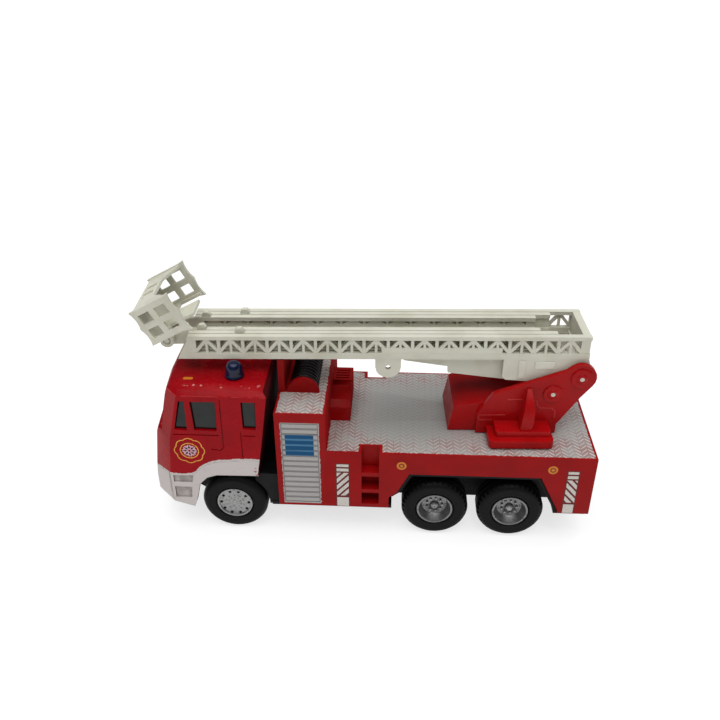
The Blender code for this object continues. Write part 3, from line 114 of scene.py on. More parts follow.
class Sheet:
    """The node tree of one material while it is drawn.

    Attributes:
        material: the material.
        place: the object's own coordinates in millimetres.
    """

    def __init__(self, name: str) -> None:
        """Makes the material.

        Args:
            name: the material's name.
        """
        self.material = bpy.data.materials.new(name)
        self.material.use_nodes = True
        self.tree = self.material.node_tree
        self.shader = self.tree.nodes["Principled BSDF"]
        coordinates = self.add("ShaderNodeTexCoord", (), "Object")
        self.place = self.add("ShaderNodeMapping", {0: coordinates, 3: (1 / MM,) * 3})

    def add(
        self, kind: str, sources: dict[int | str, object] | Sequence[object], output: int | str = 0,
        **settings: object,
    ) -> Socket:
        """Adds a node with its settings and links.

        Args:
            kind: the node's type.
            sources: what its inputs take, by their keys or in their order.
            output: which output to give back.
            settings: the node's own properties.

        Returns:
            The chosen output socket.
        """
        node = self.tree.nodes.new(kind)
        for name, value in settings.items():
            setattr(node, name, value)
        keyed = sources if isinstance(sources, dict) else dict(enumerate(sources))
        for key, source in keyed.items():
            self.feed(node.inputs[key], source)
        return node.outputs[output]

    def feed(self, socket: Socket, source: object) -> None:
        """Links a socket to an output, or sets its constant.

        Args:
            socket: the input.
            source: the output, number, vector or hex colour that it takes.
        """
        if isinstance(source, Socket):
            self.tree.links.new(source, socket)
        else:
            socket.default_value = linear(source) if isinstance(source, str) else source

    def shade(self, **sources: object) -> None:
        """Feeds the shader's sockets, named with underscores for spaces."""
        for name, source in sources.items():
            self.feed(self.shader.inputs[name.replace("_", " ")], source)

    def patches(
        self, size: float, start: float, end: float, low: float = 0.0, high: float = 1.0, detail: float = 3.0
    ) -> Socket:
        """Draws soft cloudy patches.

        Args:
            size: about how large a patch is, in millimetres.
            start: the noise level at which a patch begins.
            end: the level at which it is full.
            low: the value outside the patches.
            high: the value inside them.
            detail: how frayed they are.

        Returns:
            The patches' value.
        """
        cloud = self.add(NOISE, {"Vector": self.place, "Scale": 1 / size, "Detail": detail})
        return self.add(RANGE, (cloud, start, end, low, high), **SOFT)

    def span(self, value: Socket, low: float, high: float, soft: float = 0.1) -> Socket:
        """Returns 1 where the value lies between two limits, with soft ends."""
        rising = self.add(RANGE, (value, low - soft, low + soft), **SOFT)
        return self.meet(rising, self.add(RANGE, (value, high + soft, high - soft), **SOFT))

    def facing(self, axis: int, start: float, end: float) -> Socket:
        """Returns 1 on faces turned along an axis by the end's share, fading in from the start's."""
        normal = self.add("ShaderNodeNewGeometry", (), "Normal")
        return self.add(RANGE, (self.add(AXES, (normal,), axis), start, end), **SOFT)

    def meet(self, *masks: object) -> object:
        """Finds where masks meet.

        Args:
            masks: values from 0 to 1.

        Returns:
            Their product.
        """
        share = masks[0]
        for mask in masks[1:]:
            share = self.add(MATHS, (share, mask), operation="MULTIPLY")
        return share

    def layer(self, under: object, over: object, *masks: object) -> Socket:
        """Returns a colour with another one laid over it where all the masks meet."""
        return self.add(MIX, {0: self.meet(*masks), 6: under, 7: over}, 2, data_type="RGBA")

    def grain(self, size: float, depth: float) -> Socket:
        """Returns a normal roughened by bumps of a size and depth in millimetres."""
        height = self.add(NOISE, {"Vector": self.place, "Scale": 1 / size, "Detail": 2.0})
        return self.add(BUMP, {"Height": height, "Distance": depth * MM})


class Finish(Protocol):
    """What every finish can do."""

    def draw(self) -> bpy.types.Material:
        """Draws the finish as a material."""


@cache
def finished(finish: Finish) -> bpy.types.Material:
    """Returns the one material of a finish, drawn at its first use."""
    return finish.draw()


@dataclass(frozen=True)
class Plain:
    """A material of one colour that drifts in patches, with smears in its sheen and a fine grain.

    Attributes:
        name: the material's name.
        colour: its colour in full light.
        drift: the colour that it drifts to in patches.
        sheen: least and greatest roughness.
        patch: size, start and end of the patches, and how frayed they are.
        smear: size, start and end of the smears that blur the sheen, or nothing where it is the
            patches that are duller.
        grain: size and depth of the grain, or nothing where it is smooth. The size is coarser than
            the real 0.1 mm so that it shows.
        metal: share of it that is metal.
        passes: share of light that passes through it.
        glow: share of light that travels under its surface.
        mirror: strength of its reflection.
    """

    name: str
    colour: str
    drift: str
    sheen: Point
    patch: tuple[float, ...] = (9.0, 0.35, 0.75, 3.0)
    smear: tuple[float, ...] = (2.5, 0.3, 0.8)
    grain: tuple[float, ...] = (0.5, 0.02)
    metal: float = 0.0
    passes: float = 0.0
    glow: float = 0.0
    mirror: float = 0.14

    def draw(self) -> bpy.types.Material:
        """Draws the patches in the colour, the smears in the sheen and the grain in the surface."""
        sheet = Sheet(self.name)
        size, start, end, detail = self.patch
        drift = sheet.patches(size, start, end, detail=detail)
        if self.smear:
            dull = sheet.patches(*self.smear, *self.sheen, 5.0)
        else:
            dull = sheet.add(RANGE, {0: drift, 3: self.sheen[0], 4: self.sheen[1]})
        sheet.shade(
            Base_Color=sheet.layer(self.colour, self.drift, drift), Roughness=dull, Metallic=self.metal,
            Transmission_Weight=self.passes, Specular_IOR_Level=self.mirror,
        )
        if self.grain:
            sheet.shade(Normal=sheet.grain(*self.grain))
        if self.glow:
            sheet.shade(
                Subsurface_Weight=self.glow, Subsurface_Radius=(1.0, 0.8, 0.5), Subsurface_Scale=0.8 * MM
            )
        return sheet.material


@dataclass(frozen=True)
class Print:
    """Pad-printed ink: a flat colour worn thin in specks, so that it isn't quite even."""

    name: str
    colour: str
    worn: str

    def draw(self) -> bpy.types.Material:
        """Draws the specks where the ink is thin."""
        sheet = Sheet(self.name)
        colour = sheet.layer(self.colour, self.worn, sheet.patches(0.6, 0.5, 0.72, detail=6.0))
        sheet.shade(Base_Color=colour, Roughness=0.5, Specular_IOR_Level=0.3)
        return sheet.material


@dataclass(frozen=True)
class CabEnamel:
    """Stoving enamel on a zinc casting: deep glossy crimson, and white trim sprayed over it below.

    Attributes:
        name: the material's name.
        red: the body colour.
        deep: the same where the coat is thick.
        white: the trim's colour.
        grime_and_shade: a grey on the trim, laid as dirt in patches and as painted shade in the bumper's
            recesses and in a line under the trim's edge.
        bare: a pale pink at knocks along the roof's edge: chips through to the primer, and painted glints of
            the roof's highlight.
        highlight_red: a paler red painted as a highlight along the edge under the roof.
        rear_shade: a dark red painted as shade on the rear wall, which faces the box close behind it.
        edge: upper edge of the trim as places along the vehicle and heights.
        top: the height that stands for 1 on that curve.
        gutter: foot and top of the painted highlight line under the roof.
        crease: how far out the zone with knocks and painted glints lies on the roof, from and to.
        knocked: that zone's rear and front.
        recess: how far out the grounds of the bumper's recesses lie, from and to, which take painted shade.
        line: the depths under the trim's edge between which a line of painted shade lies.
        corner: where the trim's rear corner begins and is fully chipped, along the vehicle.
        chipped: foot and top of those chips.
    """

    name: str = "stoved_enamel"
    red: str = "980510"
    deep: str = "8C050F"
    white: str = "C4BCB9"
    grime_and_shade: str = "8F8883"
    bare: str = "C98A84"
    highlight_red: str = "B43A3C"
    rear_shade: str = "46060A"
    edge: tuple[Point, ...] = (
        (33.0, 30.2), (43.3, 29.9), (49.5, 28.8), (53.0, 26.9), (56.0, 24.1), (63.7, 23.8), (71.0, 24.0),
    )
    top: float = 40.0
    gutter: Point = (53.5, 53.75)
    crease: Point = (19.7, 21.4)
    knocked: Point = (33.0, 56.0)
    recess: Point = (23.3, 23.85)
    line: Point = (0.8, 1.0)
    corner: Point = (36.6, 35.4)
    chipped: Point = (23.4, 26.6)

    def rise(self, sheet: Sheet, x: Socket, z: Socket) -> Socket:
        """Draws how far a place lies below the trim's frayed upper edge.

        Args:
            sheet: the material.
            x: place along the vehicle.
            z: height.

        Returns:
            The distance in millimetres, negative above the edge.
        """
        rear, front = self.edge[0][0], self.edge[-1][0]
        height = sheet.add("ShaderNodeFloatCurve", (1.0, sheet.add(RANGE, (x, rear, front))))
        mapping = height.node.mapping
        curve = mapping.curves[0]
        points = [((place - rear) / (front - rear), level / self.top) for place, level in self.edge]
        curve.points[0].location, curve.points[1].location = points[0], points[-1]
        for point in points[1:-1]:
            curve.points.new(*point)
        mapping.update()
        ragged = sheet.patches(0.9, 0.3, 0.7, -0.15, 0.15, 2.0)
        level = sheet.add(MATHS, (height, self.top, ragged), operation="MULTIPLY_ADD")
        return sheet.add(MATHS, (level, z), operation="SUBTRACT")

    def draw(self) -> bpy.types.Material:
        """Draws the red with its knocks, painted glints and painted highlight line, the trim over it with
        its dirt and painted shade, and painted shade on the rear wall.
        """
        sheet = Sheet(self.name)
        x, y, z = sheet.add(AXES, (sheet.place,)).node.outputs
        aside = sheet.add(MATHS, (y,), operation="ABSOLUTE")
        below = self.rise(sheet, x, z)
        trim = sheet.add(RANGE, (below, 0.0, 0.2), **SOFT)
        red = sheet.layer(self.red, self.deep, sheet.patches(7.0, 0.3, 0.7))
        # A paler red line just under the roof's edge, broken in patches: a painted highlight
        highlight_breaks = sheet.patches(4.0, 0.42, 0.58, 0.1, 0.8)
        red = sheet.layer(red, self.highlight_red, sheet.span(z, *self.gutter, 0.08), highlight_breaks)
        # Pale spots along the roof's shoulder: chips to the primer, and painted glints of its highlight
        crease = sheet.meet(sheet.span(aside, *self.crease, 0.3), sheet.span(x, *self.knocked, 1.0))
        red = sheet.layer(red, self.bare, sheet.patches(1.1, 0.6, 0.66, detail=4.0), crease)
        white = self.white
        # The grey lies in random patches as dirt, and as painted shade in the bumper's recess grounds and in
        # a line under the trim's edge
        for masks in (
            (sheet.patches(3.0, 0.55, 0.85, 0.0, 0.45, 6.0),),
            (sheet.span(aside, *self.recess, 0.03), sheet.patches(2.5, 0.3, 0.7, 0.3, 0.9)),
            (sheet.span(below, *self.line, 0.08), sheet.patches(2.0, 0.35, 0.6, 0.1, 0.9)),
        ):
            white = sheet.layer(white, self.grime_and_shade, *masks)
        corner = sheet.meet(sheet.add(RANGE, (x, *self.corner), **SOFT), sheet.span(z, *self.chipped, 0.4))
        white = sheet.layer(white, self.red, sheet.patches(0.8, 0.54, 0.58, detail=2.0), corner)
        # Faces turned back, such as the rear wall that faces the box close behind it, get a dark red of
        # painted shade and full dullness
        behind = sheet.facing(0, *LOOKS_BACK)
        smear = sheet.patches(2.4, 0.4, 0.75, 0.24, 0.36, 5.0)
        dull = sheet.add(MIX, {0: trim, 2: smear, 3: 0.5})
        step = {"Height": trim, "Distance": 0.12 * MM, "Normal": sheet.grain(1.6, 0.03)}
        sheet.shade(
            Base_Color=sheet.layer(sheet.layer(red, white, trim), self.rear_shade, behind),
            Roughness=sheet.add(MIX, {0: behind, 2: dull, 3: 1.0}), Normal=sheet.add(BUMP, step),
            Specular_IOR_Level=0.09,
        )
        return sheet.material


@dataclass(frozen=True)
class StampedPlastic:
    """Red moulded body with silver hot-stamped foil: tread plate on its decks, roller shutters on its sides.

    Foil is pressed on by a hot pad, so it thins to red at edges and low places.

    Attributes:
        name: the material's name.
        red: the plastic.
        deep: the plastic in patches.
        foil: the foil on the decks.
        stroke: a paler foil painted on the tread's raised strokes as their highlight.
        shutter: the foil on the shutters, whiter.
        gap_shade: a darker foil painted between the shutter's slats as their shade.
        blue: the blank sign's ink.
        faded: the same between the slats.
        leg: width of one leg of the tread's zigzag.
        pitch: distance between its strokes.
        decks: each deck's height, the rear and front of its foil, the rear and front of a bare
            place in it, and how far out that place fades in.
        half: where the foil ends across the vehicle.
        outer: how far out the side panels begin.
        sunk: how far out the ground between the slats fades in.
        shutter_x: rear and front of a shutter's foil.
        shutter_z: its foot and top.
        sign_x: rear and front of the sign.
        sign_z: its foot and top.
    """

    name: str = "hot_stamped_abs"
    red: str = "92080A"
    deep: str = "87080A"
    foil: str = "AFB0AD"
    stroke: str = "DAD6D0"
    shutter: str = "A6A3A0"
    gap_shade: str = "858180"
    blue: str = "154A72"
    faded: str = "4A7A9C"
    leg: float = 2.1
    pitch: float = 1.8
    decks: tuple[tuple[float, Point, Point, Point], ...] = (
        (33.9, (-71.0, 12.5), (-5.0, 2.6), (19.3, 19.5)),
        (48.0, (13.5, 27.8), (21.0, 28.0), (12.0, 11.8)),
    )
    half: float = 23.3
    outer: Point = (23.0, 23.2)
    sunk: Point = (23.88, 23.82)
    shutter_x: Point = (14.7, 26.8)
    shutter_z: Point = (12.6, 44.7)
    sign_x: Point = (16.5, 25.5)
    sign_z: Point = (31.9, 40.05)

    def zigzag(self, sheet: Sheet, x: Socket, y: Socket) -> Socket:
        """Draws the raised strokes of the tread plate.

        Args:
            sheet: the material.
            x: place along the vehicle.
            y: place across it.

        Returns:
            The strokes' height from 0 to 1.
        """
        turns = sheet.add(MATHS, (x, self.leg), operation="PINGPONG")
        across = sheet.add(MATHS, (y, turns), operation="ADD")
        row = sheet.add(MATHS, (across, self.pitch / 2), operation="PINGPONG")
        stroke = sheet.add(RANGE, (row, 0.5, 0.78), **SOFT)
        return sheet.meet(stroke, sheet.span(turns, 0.16, self.leg - 0.16, 0.12))

    def deck(self, sheet: Sheet, x: Socket, z: Socket, aside: Socket) -> Socket:
        """Draws where the decks carry foil.

        Args:
            sheet: the material.
            x: frayed place along the vehicle.
            z: height.
            aside: frayed distance from the vehicle's middle.

        Returns:
            1 on the foil and 0 elsewhere.
        """
        whole = 0.0
        for height, ends, bare, out in self.decks:
            bald = sheet.meet(sheet.span(x, *bare), sheet.add(RANGE, (aside, *out), **SOFT))
            kept = sheet.add(MATHS, (1.0, bald), operation="SUBTRACT")
            level = sheet.span(z, height - 0.25, height + 0.25, 0.05)
            zone = sheet.meet(level, sheet.span(x, *ends, 0.12), kept)
            whole = sheet.add(MATHS, (whole, zone), operation="ADD")
        return sheet.meet(whole, sheet.add(RANGE, (aside, self.half + 0.1, self.half - 0.1), **SOFT))

    def wear(self, sheet: Sheet, x: Socket, z: Socket, aside: Socket) -> Socket:
        """Draws where the foil has thinned.

        Args:
            sheet: the material.
            x: place along the vehicle.
            z: height.
            aside: frayed distance from the vehicle's middle.

        Returns:
            The wear from 0 to 1.
        """
        level = 0.0
        # Along the edges, on the box, by the locker and at the tail. Columns: coordinate, where the
        # wear begins and is full, its least and greatest value
        for value, start, end, low, high in (
            (aside, 11.0, 22.0, 0.1, 0.9), (z, 40.0, 41.0, 0.0, 1.0), (x, -3.0, 7.0, 0.0, 0.7),
            (x, -30.0, -40.0, 0.0, 0.4),
        ):
            zone = sheet.add(RANGE, (value, start, end, low, high), **SOFT)
            level = sheet.add(MATHS, (level, zone), operation="ADD", use_clamp=True)
        return sheet.meet(level, sheet.patches(5.0, 0.35, 0.65, 0.25, 1.0))

    def draw(self) -> bpy.types.Material:
        """Draws the plastic, then the foil with its tread and the painted highlight on its strokes, the
        shutters with painted shade between their slats, and the blank signs.
        """
        sheet = Sheet(self.name)
        clouds = sheet.add(NOISE, {"Vector": sheet.place, "Scale": 1.2, "Detail": 2.0}, "Color")
        torn = sheet.add(VECTOR, (clouds, (1.0, 1.0, 0.0), sheet.place), operation="MULTIPLY_ADD")
        # The noise is about 0.5 everywhere, so its middle comes off again
        frayed = sheet.add(VECTOR, (torn, (0.5, 0.5, 0.0)), operation="SUBTRACT")
        x, y, z = sheet.add(AXES, (sheet.place,)).node.outputs
        frayed_x, frayed_y, _ = sheet.add(AXES, (frayed,)).node.outputs
        aside = sheet.add(MATHS, (frayed_y,), operation="ABSOLUTE")
        out = sheet.add(MATHS, (y,), operation="ABSOLUTE")
        deck = sheet.meet(self.deck(sheet, frayed_x, z, aside), sheet.facing(2, 0.9, 0.97))
        strokes = self.zigzag(sheet, x, y)
        wear = self.wear(sheet, x, z, aside)
        lost = sheet.meet(wear, sheet.add(RANGE, (strokes, 1.0, 0.0, 0.0, 0.5)))
        foil = sheet.meet(deck, sheet.add(MATHS, (1.0, lost), operation="SUBTRACT"))
        bright = sheet.add(RANGE, (wear, 0.0, 0.7, 0.15, 0.9))
        red = sheet.layer(self.red, self.deep, sheet.patches(8.0, 0.35, 0.7))
        # The tread's raised strokes are painted paler than the foil, more so where it is worn: a painted
        # highlight
        colour = sheet.layer(red, sheet.layer(self.foil, self.stroke, strokes, bright), foil)
        outer = sheet.add(RANGE, (out, *self.outer), **SOFT)
        sunk = sheet.add(RANGE, (out, *self.sunk), **SOFT)
        slats = sheet.layer(self.shutter, self.foil, sheet.patches(0.9, 0.5, 0.8, 0.0, 0.5))
        # The ground between a shutter's slats is a darker foil: painted shade
        # Columns: colours, coordinate along the vehicle, rear and front, foot and top
        for over, under, along, ends, heights in (
            (slats, self.gap_shade, frayed_x, self.shutter_x, self.shutter_z),
            (self.blue, self.faded, x, self.sign_x, self.sign_z),
        ):
            panel = sheet.meet(outer, sheet.span(along, *ends), sheet.span(z, *heights))
            colour = sheet.layer(colour, sheet.layer(over, under, sunk), panel)
        raised = sheet.meet(strokes, deck, bright)
        dull = sheet.add(RANGE, {0: foil, 3: 0.4, 4: 0.5})
        tread = {"Height": raised, "Distance": 0.16 * MM, "Normal": sheet.grain(0.5, 0.02)}
        sheet.shade(
            Base_Color=colour, Metallic=sheet.meet(foil, 0.45), Normal=sheet.add(BUMP, tread),
            Roughness=sheet.add(MIX, {0: sheet.facing(0, *LOOKS_BACK), 2: dull, 3: 1.0}),
            Specular_IOR_Level=0.1,
        )
        return sheet.material


ENAMEL = CabEnamel()
STAMPED = StampedPlastic()
# Injection-moulded ABS: an even red with faint flow clouds, a fine grain and a soft sheen
TURNTABLE_RED = Plain("turntable_abs", "A2080C", "94070A", (0.29, 0.42))
# The same in a paler red, painted on the raised lines as their highlight
HIGHLIGHT_RED = Plain("turntable_abs_rubbed", "B83A38", "A51A1C", (0.29, 0.42))
# Milky polypropylene of the ladder, which light enters a little, so that its edges look soft
IVORY = Plain("ladder_polypropylene", "CFCEBF", "C3C1B0", (0.4, 0.53), glow=0.1)
# ABS of the chassis: a duller black with a coarse grain
BLACK = Plain("chassis_abs", "0B0B0C", "121213", (0.45, 0.58), grain=(0.5, 0.04), mirror=0.12)
# ABS of the hose: a smooth black that shines along each turn
HOSE = Plain("hose_abs", "0C0C0D", "1A1818", (0.31, 0.44), grain=(0.5, 0.01))
# A black so dull that it reads as the shadow in a hole
DARK = Plain("hole_shadow_abs", "060606", "0A0A0A", (0.75, 0.88))
# Soft vinyl of the tyres: nearly black, and dusty and dull on top of its grain
RUBBER = Plain(
    "tyre_vinyl", "080808", "121211", (0.5, 0.75), patch=(1.6, 0.5, 0.85, 6.0), smear=(),
    grain=(0.35, 0.03), mirror=0.12,
)
# Tinted polystyrene of the windows and beacons: dark colour under a hard, smooth shine
SMOKED = Plain(
    "smoked_polystyrene", "16191A", "0B0C0D", (0.18, 0.33), patch=(4.0, 0.3, 0.8, 2.0),
    smear=(3.0, 0.4, 0.9), grain=(), passes=0.12, mirror=0.3,
)
BLUE = replace(
    SMOKED, name="blue_polystyrene", colour="06193F", drift="040D24", sheen=(0.12, 0.27), passes=0.15
)
# Vacuum-metallised ABS of the hubs: bright grey metal, a little milky, with darker and duller specks
FRONT_HUB = Plain(
    "metallised_abs_bright", "949493", "585756", (0.34, 0.54), patch=(1.2, 0.5, 0.8, 5.0), smear=(),
    grain=(0.4, 0.03), metal=0.85, mirror=0.5,
)
# The same metal painted darker for the dished rear hubs: painted shade and dark reflections in their deep
# dishes
SHADED_HUB = replace(FRONT_HUB, name="metallised_abs_dark", colour="7C7C7B", drift="4A4948")
# Drawn steel of the axles, the palest of the metals
STEEL = replace(FRONT_HUB, name="drawn_steel", colour="A9A8A6", drift="7C7B79")
# Pad-printed inks, each worn thin in specks
WHITE_INK = Print("white_ink", "C9C4BD", "A79A94")
SHADE_INK = Print("dark_red_ink", "5E0B0E", "7A100F")
AMBER_INK = Print("amber_ink", "C9791A", "B0591A")
BROWN_INK = Print("brown_ink", "7E2C16", "9A431A")
GOLD_INK = Print("gold_ink", "DDA23A", "B86F2C")
PINK_INK = Print("pale_ink", "CFA4B0", "B5707F")


def to_mesh(bm: Shape, name: str, sharp: float = 35.0) -> bpy.types.Mesh:
    """Turns a shape in millimetres into a smooth mesh in metres, with its hard edges kept.

    Args:
        bm: the shape, which is freed.
        name: the mesh's name.
        sharp: the angle in degrees from which an edge stays hard.

    Returns:
        The mesh.
    """
    bmesh.ops.remove_doubles(bm, verts=bm.verts, dist=SAME_CORNER)
    bmesh.ops.recalc_face_normals(bm, faces=bm.faces)
    bmesh.ops.scale(bm, vec=(MM, MM, MM), verts=bm.verts)
    mesh = bpy.data.meshes.new(name)
    bm.to_mesh(mesh)
    bm.free()
    mesh.shade_smooth()
    mesh.set_sharp_from_angle(angle=math.radians(sharp))
    return mesh


def new_piece(
    bm: Shape, name: str, body: str, slot: str, finish: Finish, replaces: Iterable[str] = (),
    place: Matrix | None = None, sharp: float = 35.0,
) -> bpy.types.Object:
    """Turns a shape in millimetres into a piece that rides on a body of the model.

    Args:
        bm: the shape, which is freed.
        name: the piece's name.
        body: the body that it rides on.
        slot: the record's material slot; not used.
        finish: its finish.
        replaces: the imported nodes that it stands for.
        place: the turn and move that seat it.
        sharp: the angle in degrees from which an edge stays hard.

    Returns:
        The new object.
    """
    bmesh.ops.transform(bm, matrix=place or Matrix(), verts=bm.verts)
    mesh = to_mesh(bm, name, sharp)
    mesh.materials.append(finished(finish))
    piece = bpy.data.objects.new(name, mesh)
    bpy.context.scene.collection.objects.link(piece)
    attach(piece, body)
    if replaces:
        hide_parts(*replaces)
    log.info("%s rides on %s with %d faces", name, body, len(mesh.polygons))
    return piece


def coated(node: bpy.types.Object, finish: Finish) -> None:
    """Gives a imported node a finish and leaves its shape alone."""
    node.data.materials.clear()
    node.data.materials.append(finished(finish))


def merged(node: bpy.types.Object) -> Shape:
    """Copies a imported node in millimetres, with its loose triangles merged into whole flat faces.

    Args:
        node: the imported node.

    Returns:
        The copy.
    """
    bm = bmesh.new()
    bm.from_mesh(node.data)
    bmesh.ops.scale(bm, vec=(1 / MM,) * 3, verts=bm.verts)
    bmesh.ops.remove_doubles(bm, verts=bm.verts, dist=SAME_PACKED_CORNER)
    bmesh.ops.dissolve_degenerate(bm, edges=bm.edges, dist=SAME_PACKED_CORNER)
    bmesh.ops.dissolve_limit(bm, angle_limit=math.radians(1.0), verts=bm.verts, edges=bm.edges)
    return bm


def bevelled(bm: Shape, edges: list[bmesh.types.BMEdge], width: float, segments: int) -> None:
    """Rounds the given edges of a shape by a width in millimetres, with some faces across it."""
    bmesh.ops.bevel(
        bm, geom=edges, offset=width, offset_type="OFFSET", affect="EDGES", segments=segments,
        profile=0.5, material=-1, clamp_overlap=True,
    )


def rounded(piece: bpy.types.Object, width: float, segments: int, angle: float = 35.0) -> None:
    """Rounds all hard edges of a piece.

    Args:
        piece: the piece.
        width: the rounding's width in millimetres.
        segments: faces across it.
        angle: the angle in degrees from which an edge is rounded.
    """
    bevel = piece.modifiers.new("rounding", "BEVEL")
    bevel.width = width * MM
    bevel.segments = segments
    bevel.limit_method = "ANGLE"
    bevel.angle_limit = math.radians(angle)
    bevel.use_clamp_overlap = True
    bevel.harden_normals = True
    bevel.profile = 0.5


def turned(profile: Sequence[Point], steps: int, closed: bool = False) -> Shape:
    """Spins a profile of radius and height about Z.

    Args:
        profile: its points.
        steps: faces round the turn.
        closed: whether the profile is a loop.

    Returns:
        The turned shape in millimetres.
    """
    bm = bmesh.new()
    points = [bm.verts.new((radius, 0.0, height)) for radius, height in profile]
    lines = [bm.edges.new(pair) for pair in zip(points, points[1:])]
    if closed:
        lines.append(bm.edges.new((points[-1], points[0])))
    bmesh.ops.spin(
        bm, geom=points + lines, cent=(0, 0, 0), axis=(0, 0, 1), dvec=(0, 0, 0),
        angle=math.tau, steps=steps, use_merge=True,
    )
    bmesh.ops.remove_doubles(bm, verts=bm.verts, dist=SAME_CORNER)
    return bm


def disc(radius: float, steps: int, *places: Matrix) -> Shape:
    """Makes flat round faces.

    Args:
        radius: their radius.
        steps: corners round each.
        places: where they lie, or at the origin if none is given.

    Returns:
        The faces.
    """
    bm = bmesh.new()
    for place in places or (Matrix(),):
        bmesh.ops.create_circle(bm, cap_ends=True, segments=steps, radius=radius, matrix=place)
    return bm


def moved(bm: Shape, made: dict[str, list[object]], move: Sequence[float]) -> None:
    """Moves the corners that an operator has just made."""
    corners = [item for item in made["geom"] if isinstance(item, bmesh.types.BMVert)]
    bmesh.ops.translate(bm, vec=move, verts=corners)


def thickened(bm: Shape, move: Sequence[float]) -> None:
    """Turns the flat faces of a shape into a solid that reaches from them along a move."""
    moved(bm, bmesh.ops.extrude_face_region(bm, geom=bm.faces[:]), move)


def outward(side: Side, x: float, y: float, z: float) -> Matrix:
    """Returns the turn and move that lay a shape's +Z outwards on a side, y millimetres out."""
    turn = Matrix.Rotation(-side.value * math.radians(90), 4, "X")
    return Matrix.Translation((x, side.value * y, z)) @ turn


@dataclass
class Studio:
    """The floor, the light and the camera of the picture.

    Attributes:
        place: the camera's place.
        heading: the camera's turn from straight across the vehicle, in degrees.
        dip: how far it looks down, in degrees.
        roll: how far it leans, in degrees.
        lens: its focal length on a 36 mm sensor.
        seen: the nearest and farthest things that it shows, in metres.
        floor: half the floor's side.
        paper: the floor's colour, and the one in its clouds.
        glow: how much the floor shines by itself, as a floor in a lit tent does.
        sky: strength of the light from all round.
        air: that light's colour.
        lamps: each light's name, strength, width and lean towards the camera in degrees: the wide
            one overhead, and the small one that makes the crisp highlights.
    """

    place: Place = (-8.2307, 217.2708, 185.8995)
    heading: float = 3.0091
    dip: float = 31.3623
    roll: float = 0.1879
    lens: float = 39.07
    seen: Point = (0.01, 20.0)
    floor: float = 3000.0
    paper: tuple[str, str] = ("A0A0A0", "9D9D9D")
    glow: float = 0.72
    sky: float = 0.17
    air: str = "FAFBFF"
    lamps: tuple[tuple[str, float, float, float], ...] = (
        ("overhead", 2.95, 80.0, 6.0), ("glint", 0.18, 5.0, 24.0),
    )

    def build(self) -> None:
        """Makes the camera, the floor and the light."""
        self.build_camera()
        self.build_floor()
        self.build_light()

    def build_camera(self) -> None:
        """Makes the camera at the photograph's place."""
        lens = bpy.data.cameras.new("camera")
        lens.lens = self.lens
        lens.clip_start, lens.clip_end = self.seen
        camera = bpy.data.objects.new("camera", lens)
        heading, dip = math.radians(self.heading), math.radians(self.dip)
        level = Vector((math.sin(heading), -math.cos(heading), 0)) * math.cos(dip)
        forward = level - Vector((0, 0, math.sin(dip)))
        turn = forward.to_track_quat("-Z", "Y").to_matrix().to_4x4()
        lean = Matrix.Rotation(-math.radians(self.roll), 4, "Z")
        camera.matrix_world = Matrix.Translation(Vector(self.place) * MM) @ turn @ lean
        bpy.context.scene.collection.objects.link(camera)
        bpy.context.scene.camera = camera

    def build_floor(self) -> None:
        """Makes the plain white floor."""
        bm = bmesh.new()
        bmesh.ops.create_grid(bm, x_segments=2, y_segments=2, size=self.floor)
        sheet = Sheet("paper_floor")
        sheet.shade(
            Base_Color=sheet.layer(*self.paper, sheet.patches(60.0, 0.3, 0.7)), Roughness=0.9,
            Specular_IOR_Level=0.0, Emission_Color="FFFFFF", Emission_Strength=self.glow,
        )
        mesh = to_mesh(bm, "floor")
        mesh.materials.append(sheet.material)
        floor = bpy.data.objects.new("floor", mesh)
        bpy.context.scene.collection.objects.link(floor)

    def build_light(self) -> None:
        """Makes the dim white surroundings and the lights."""
        world = bpy.data.worlds.new("studio")
        world.use_nodes = True
        background = world.node_tree.nodes["Background"]
        background.inputs[0].default_value = linear(self.air)
        background.inputs[1].default_value = self.sky
        bpy.context.scene.world = world
        for name, strength, spread, lean in self.lamps:
            light = bpy.data.lights.new(name, "SUN")
            light.energy = strength
            light.angle = math.radians(spread)
            lamp = bpy.data.objects.new(name, light)
            lamp.matrix_world = Matrix.Rotation(-math.radians(lean), 4, "X")
            bpy.context.scene.collection.objects.link(lamp)


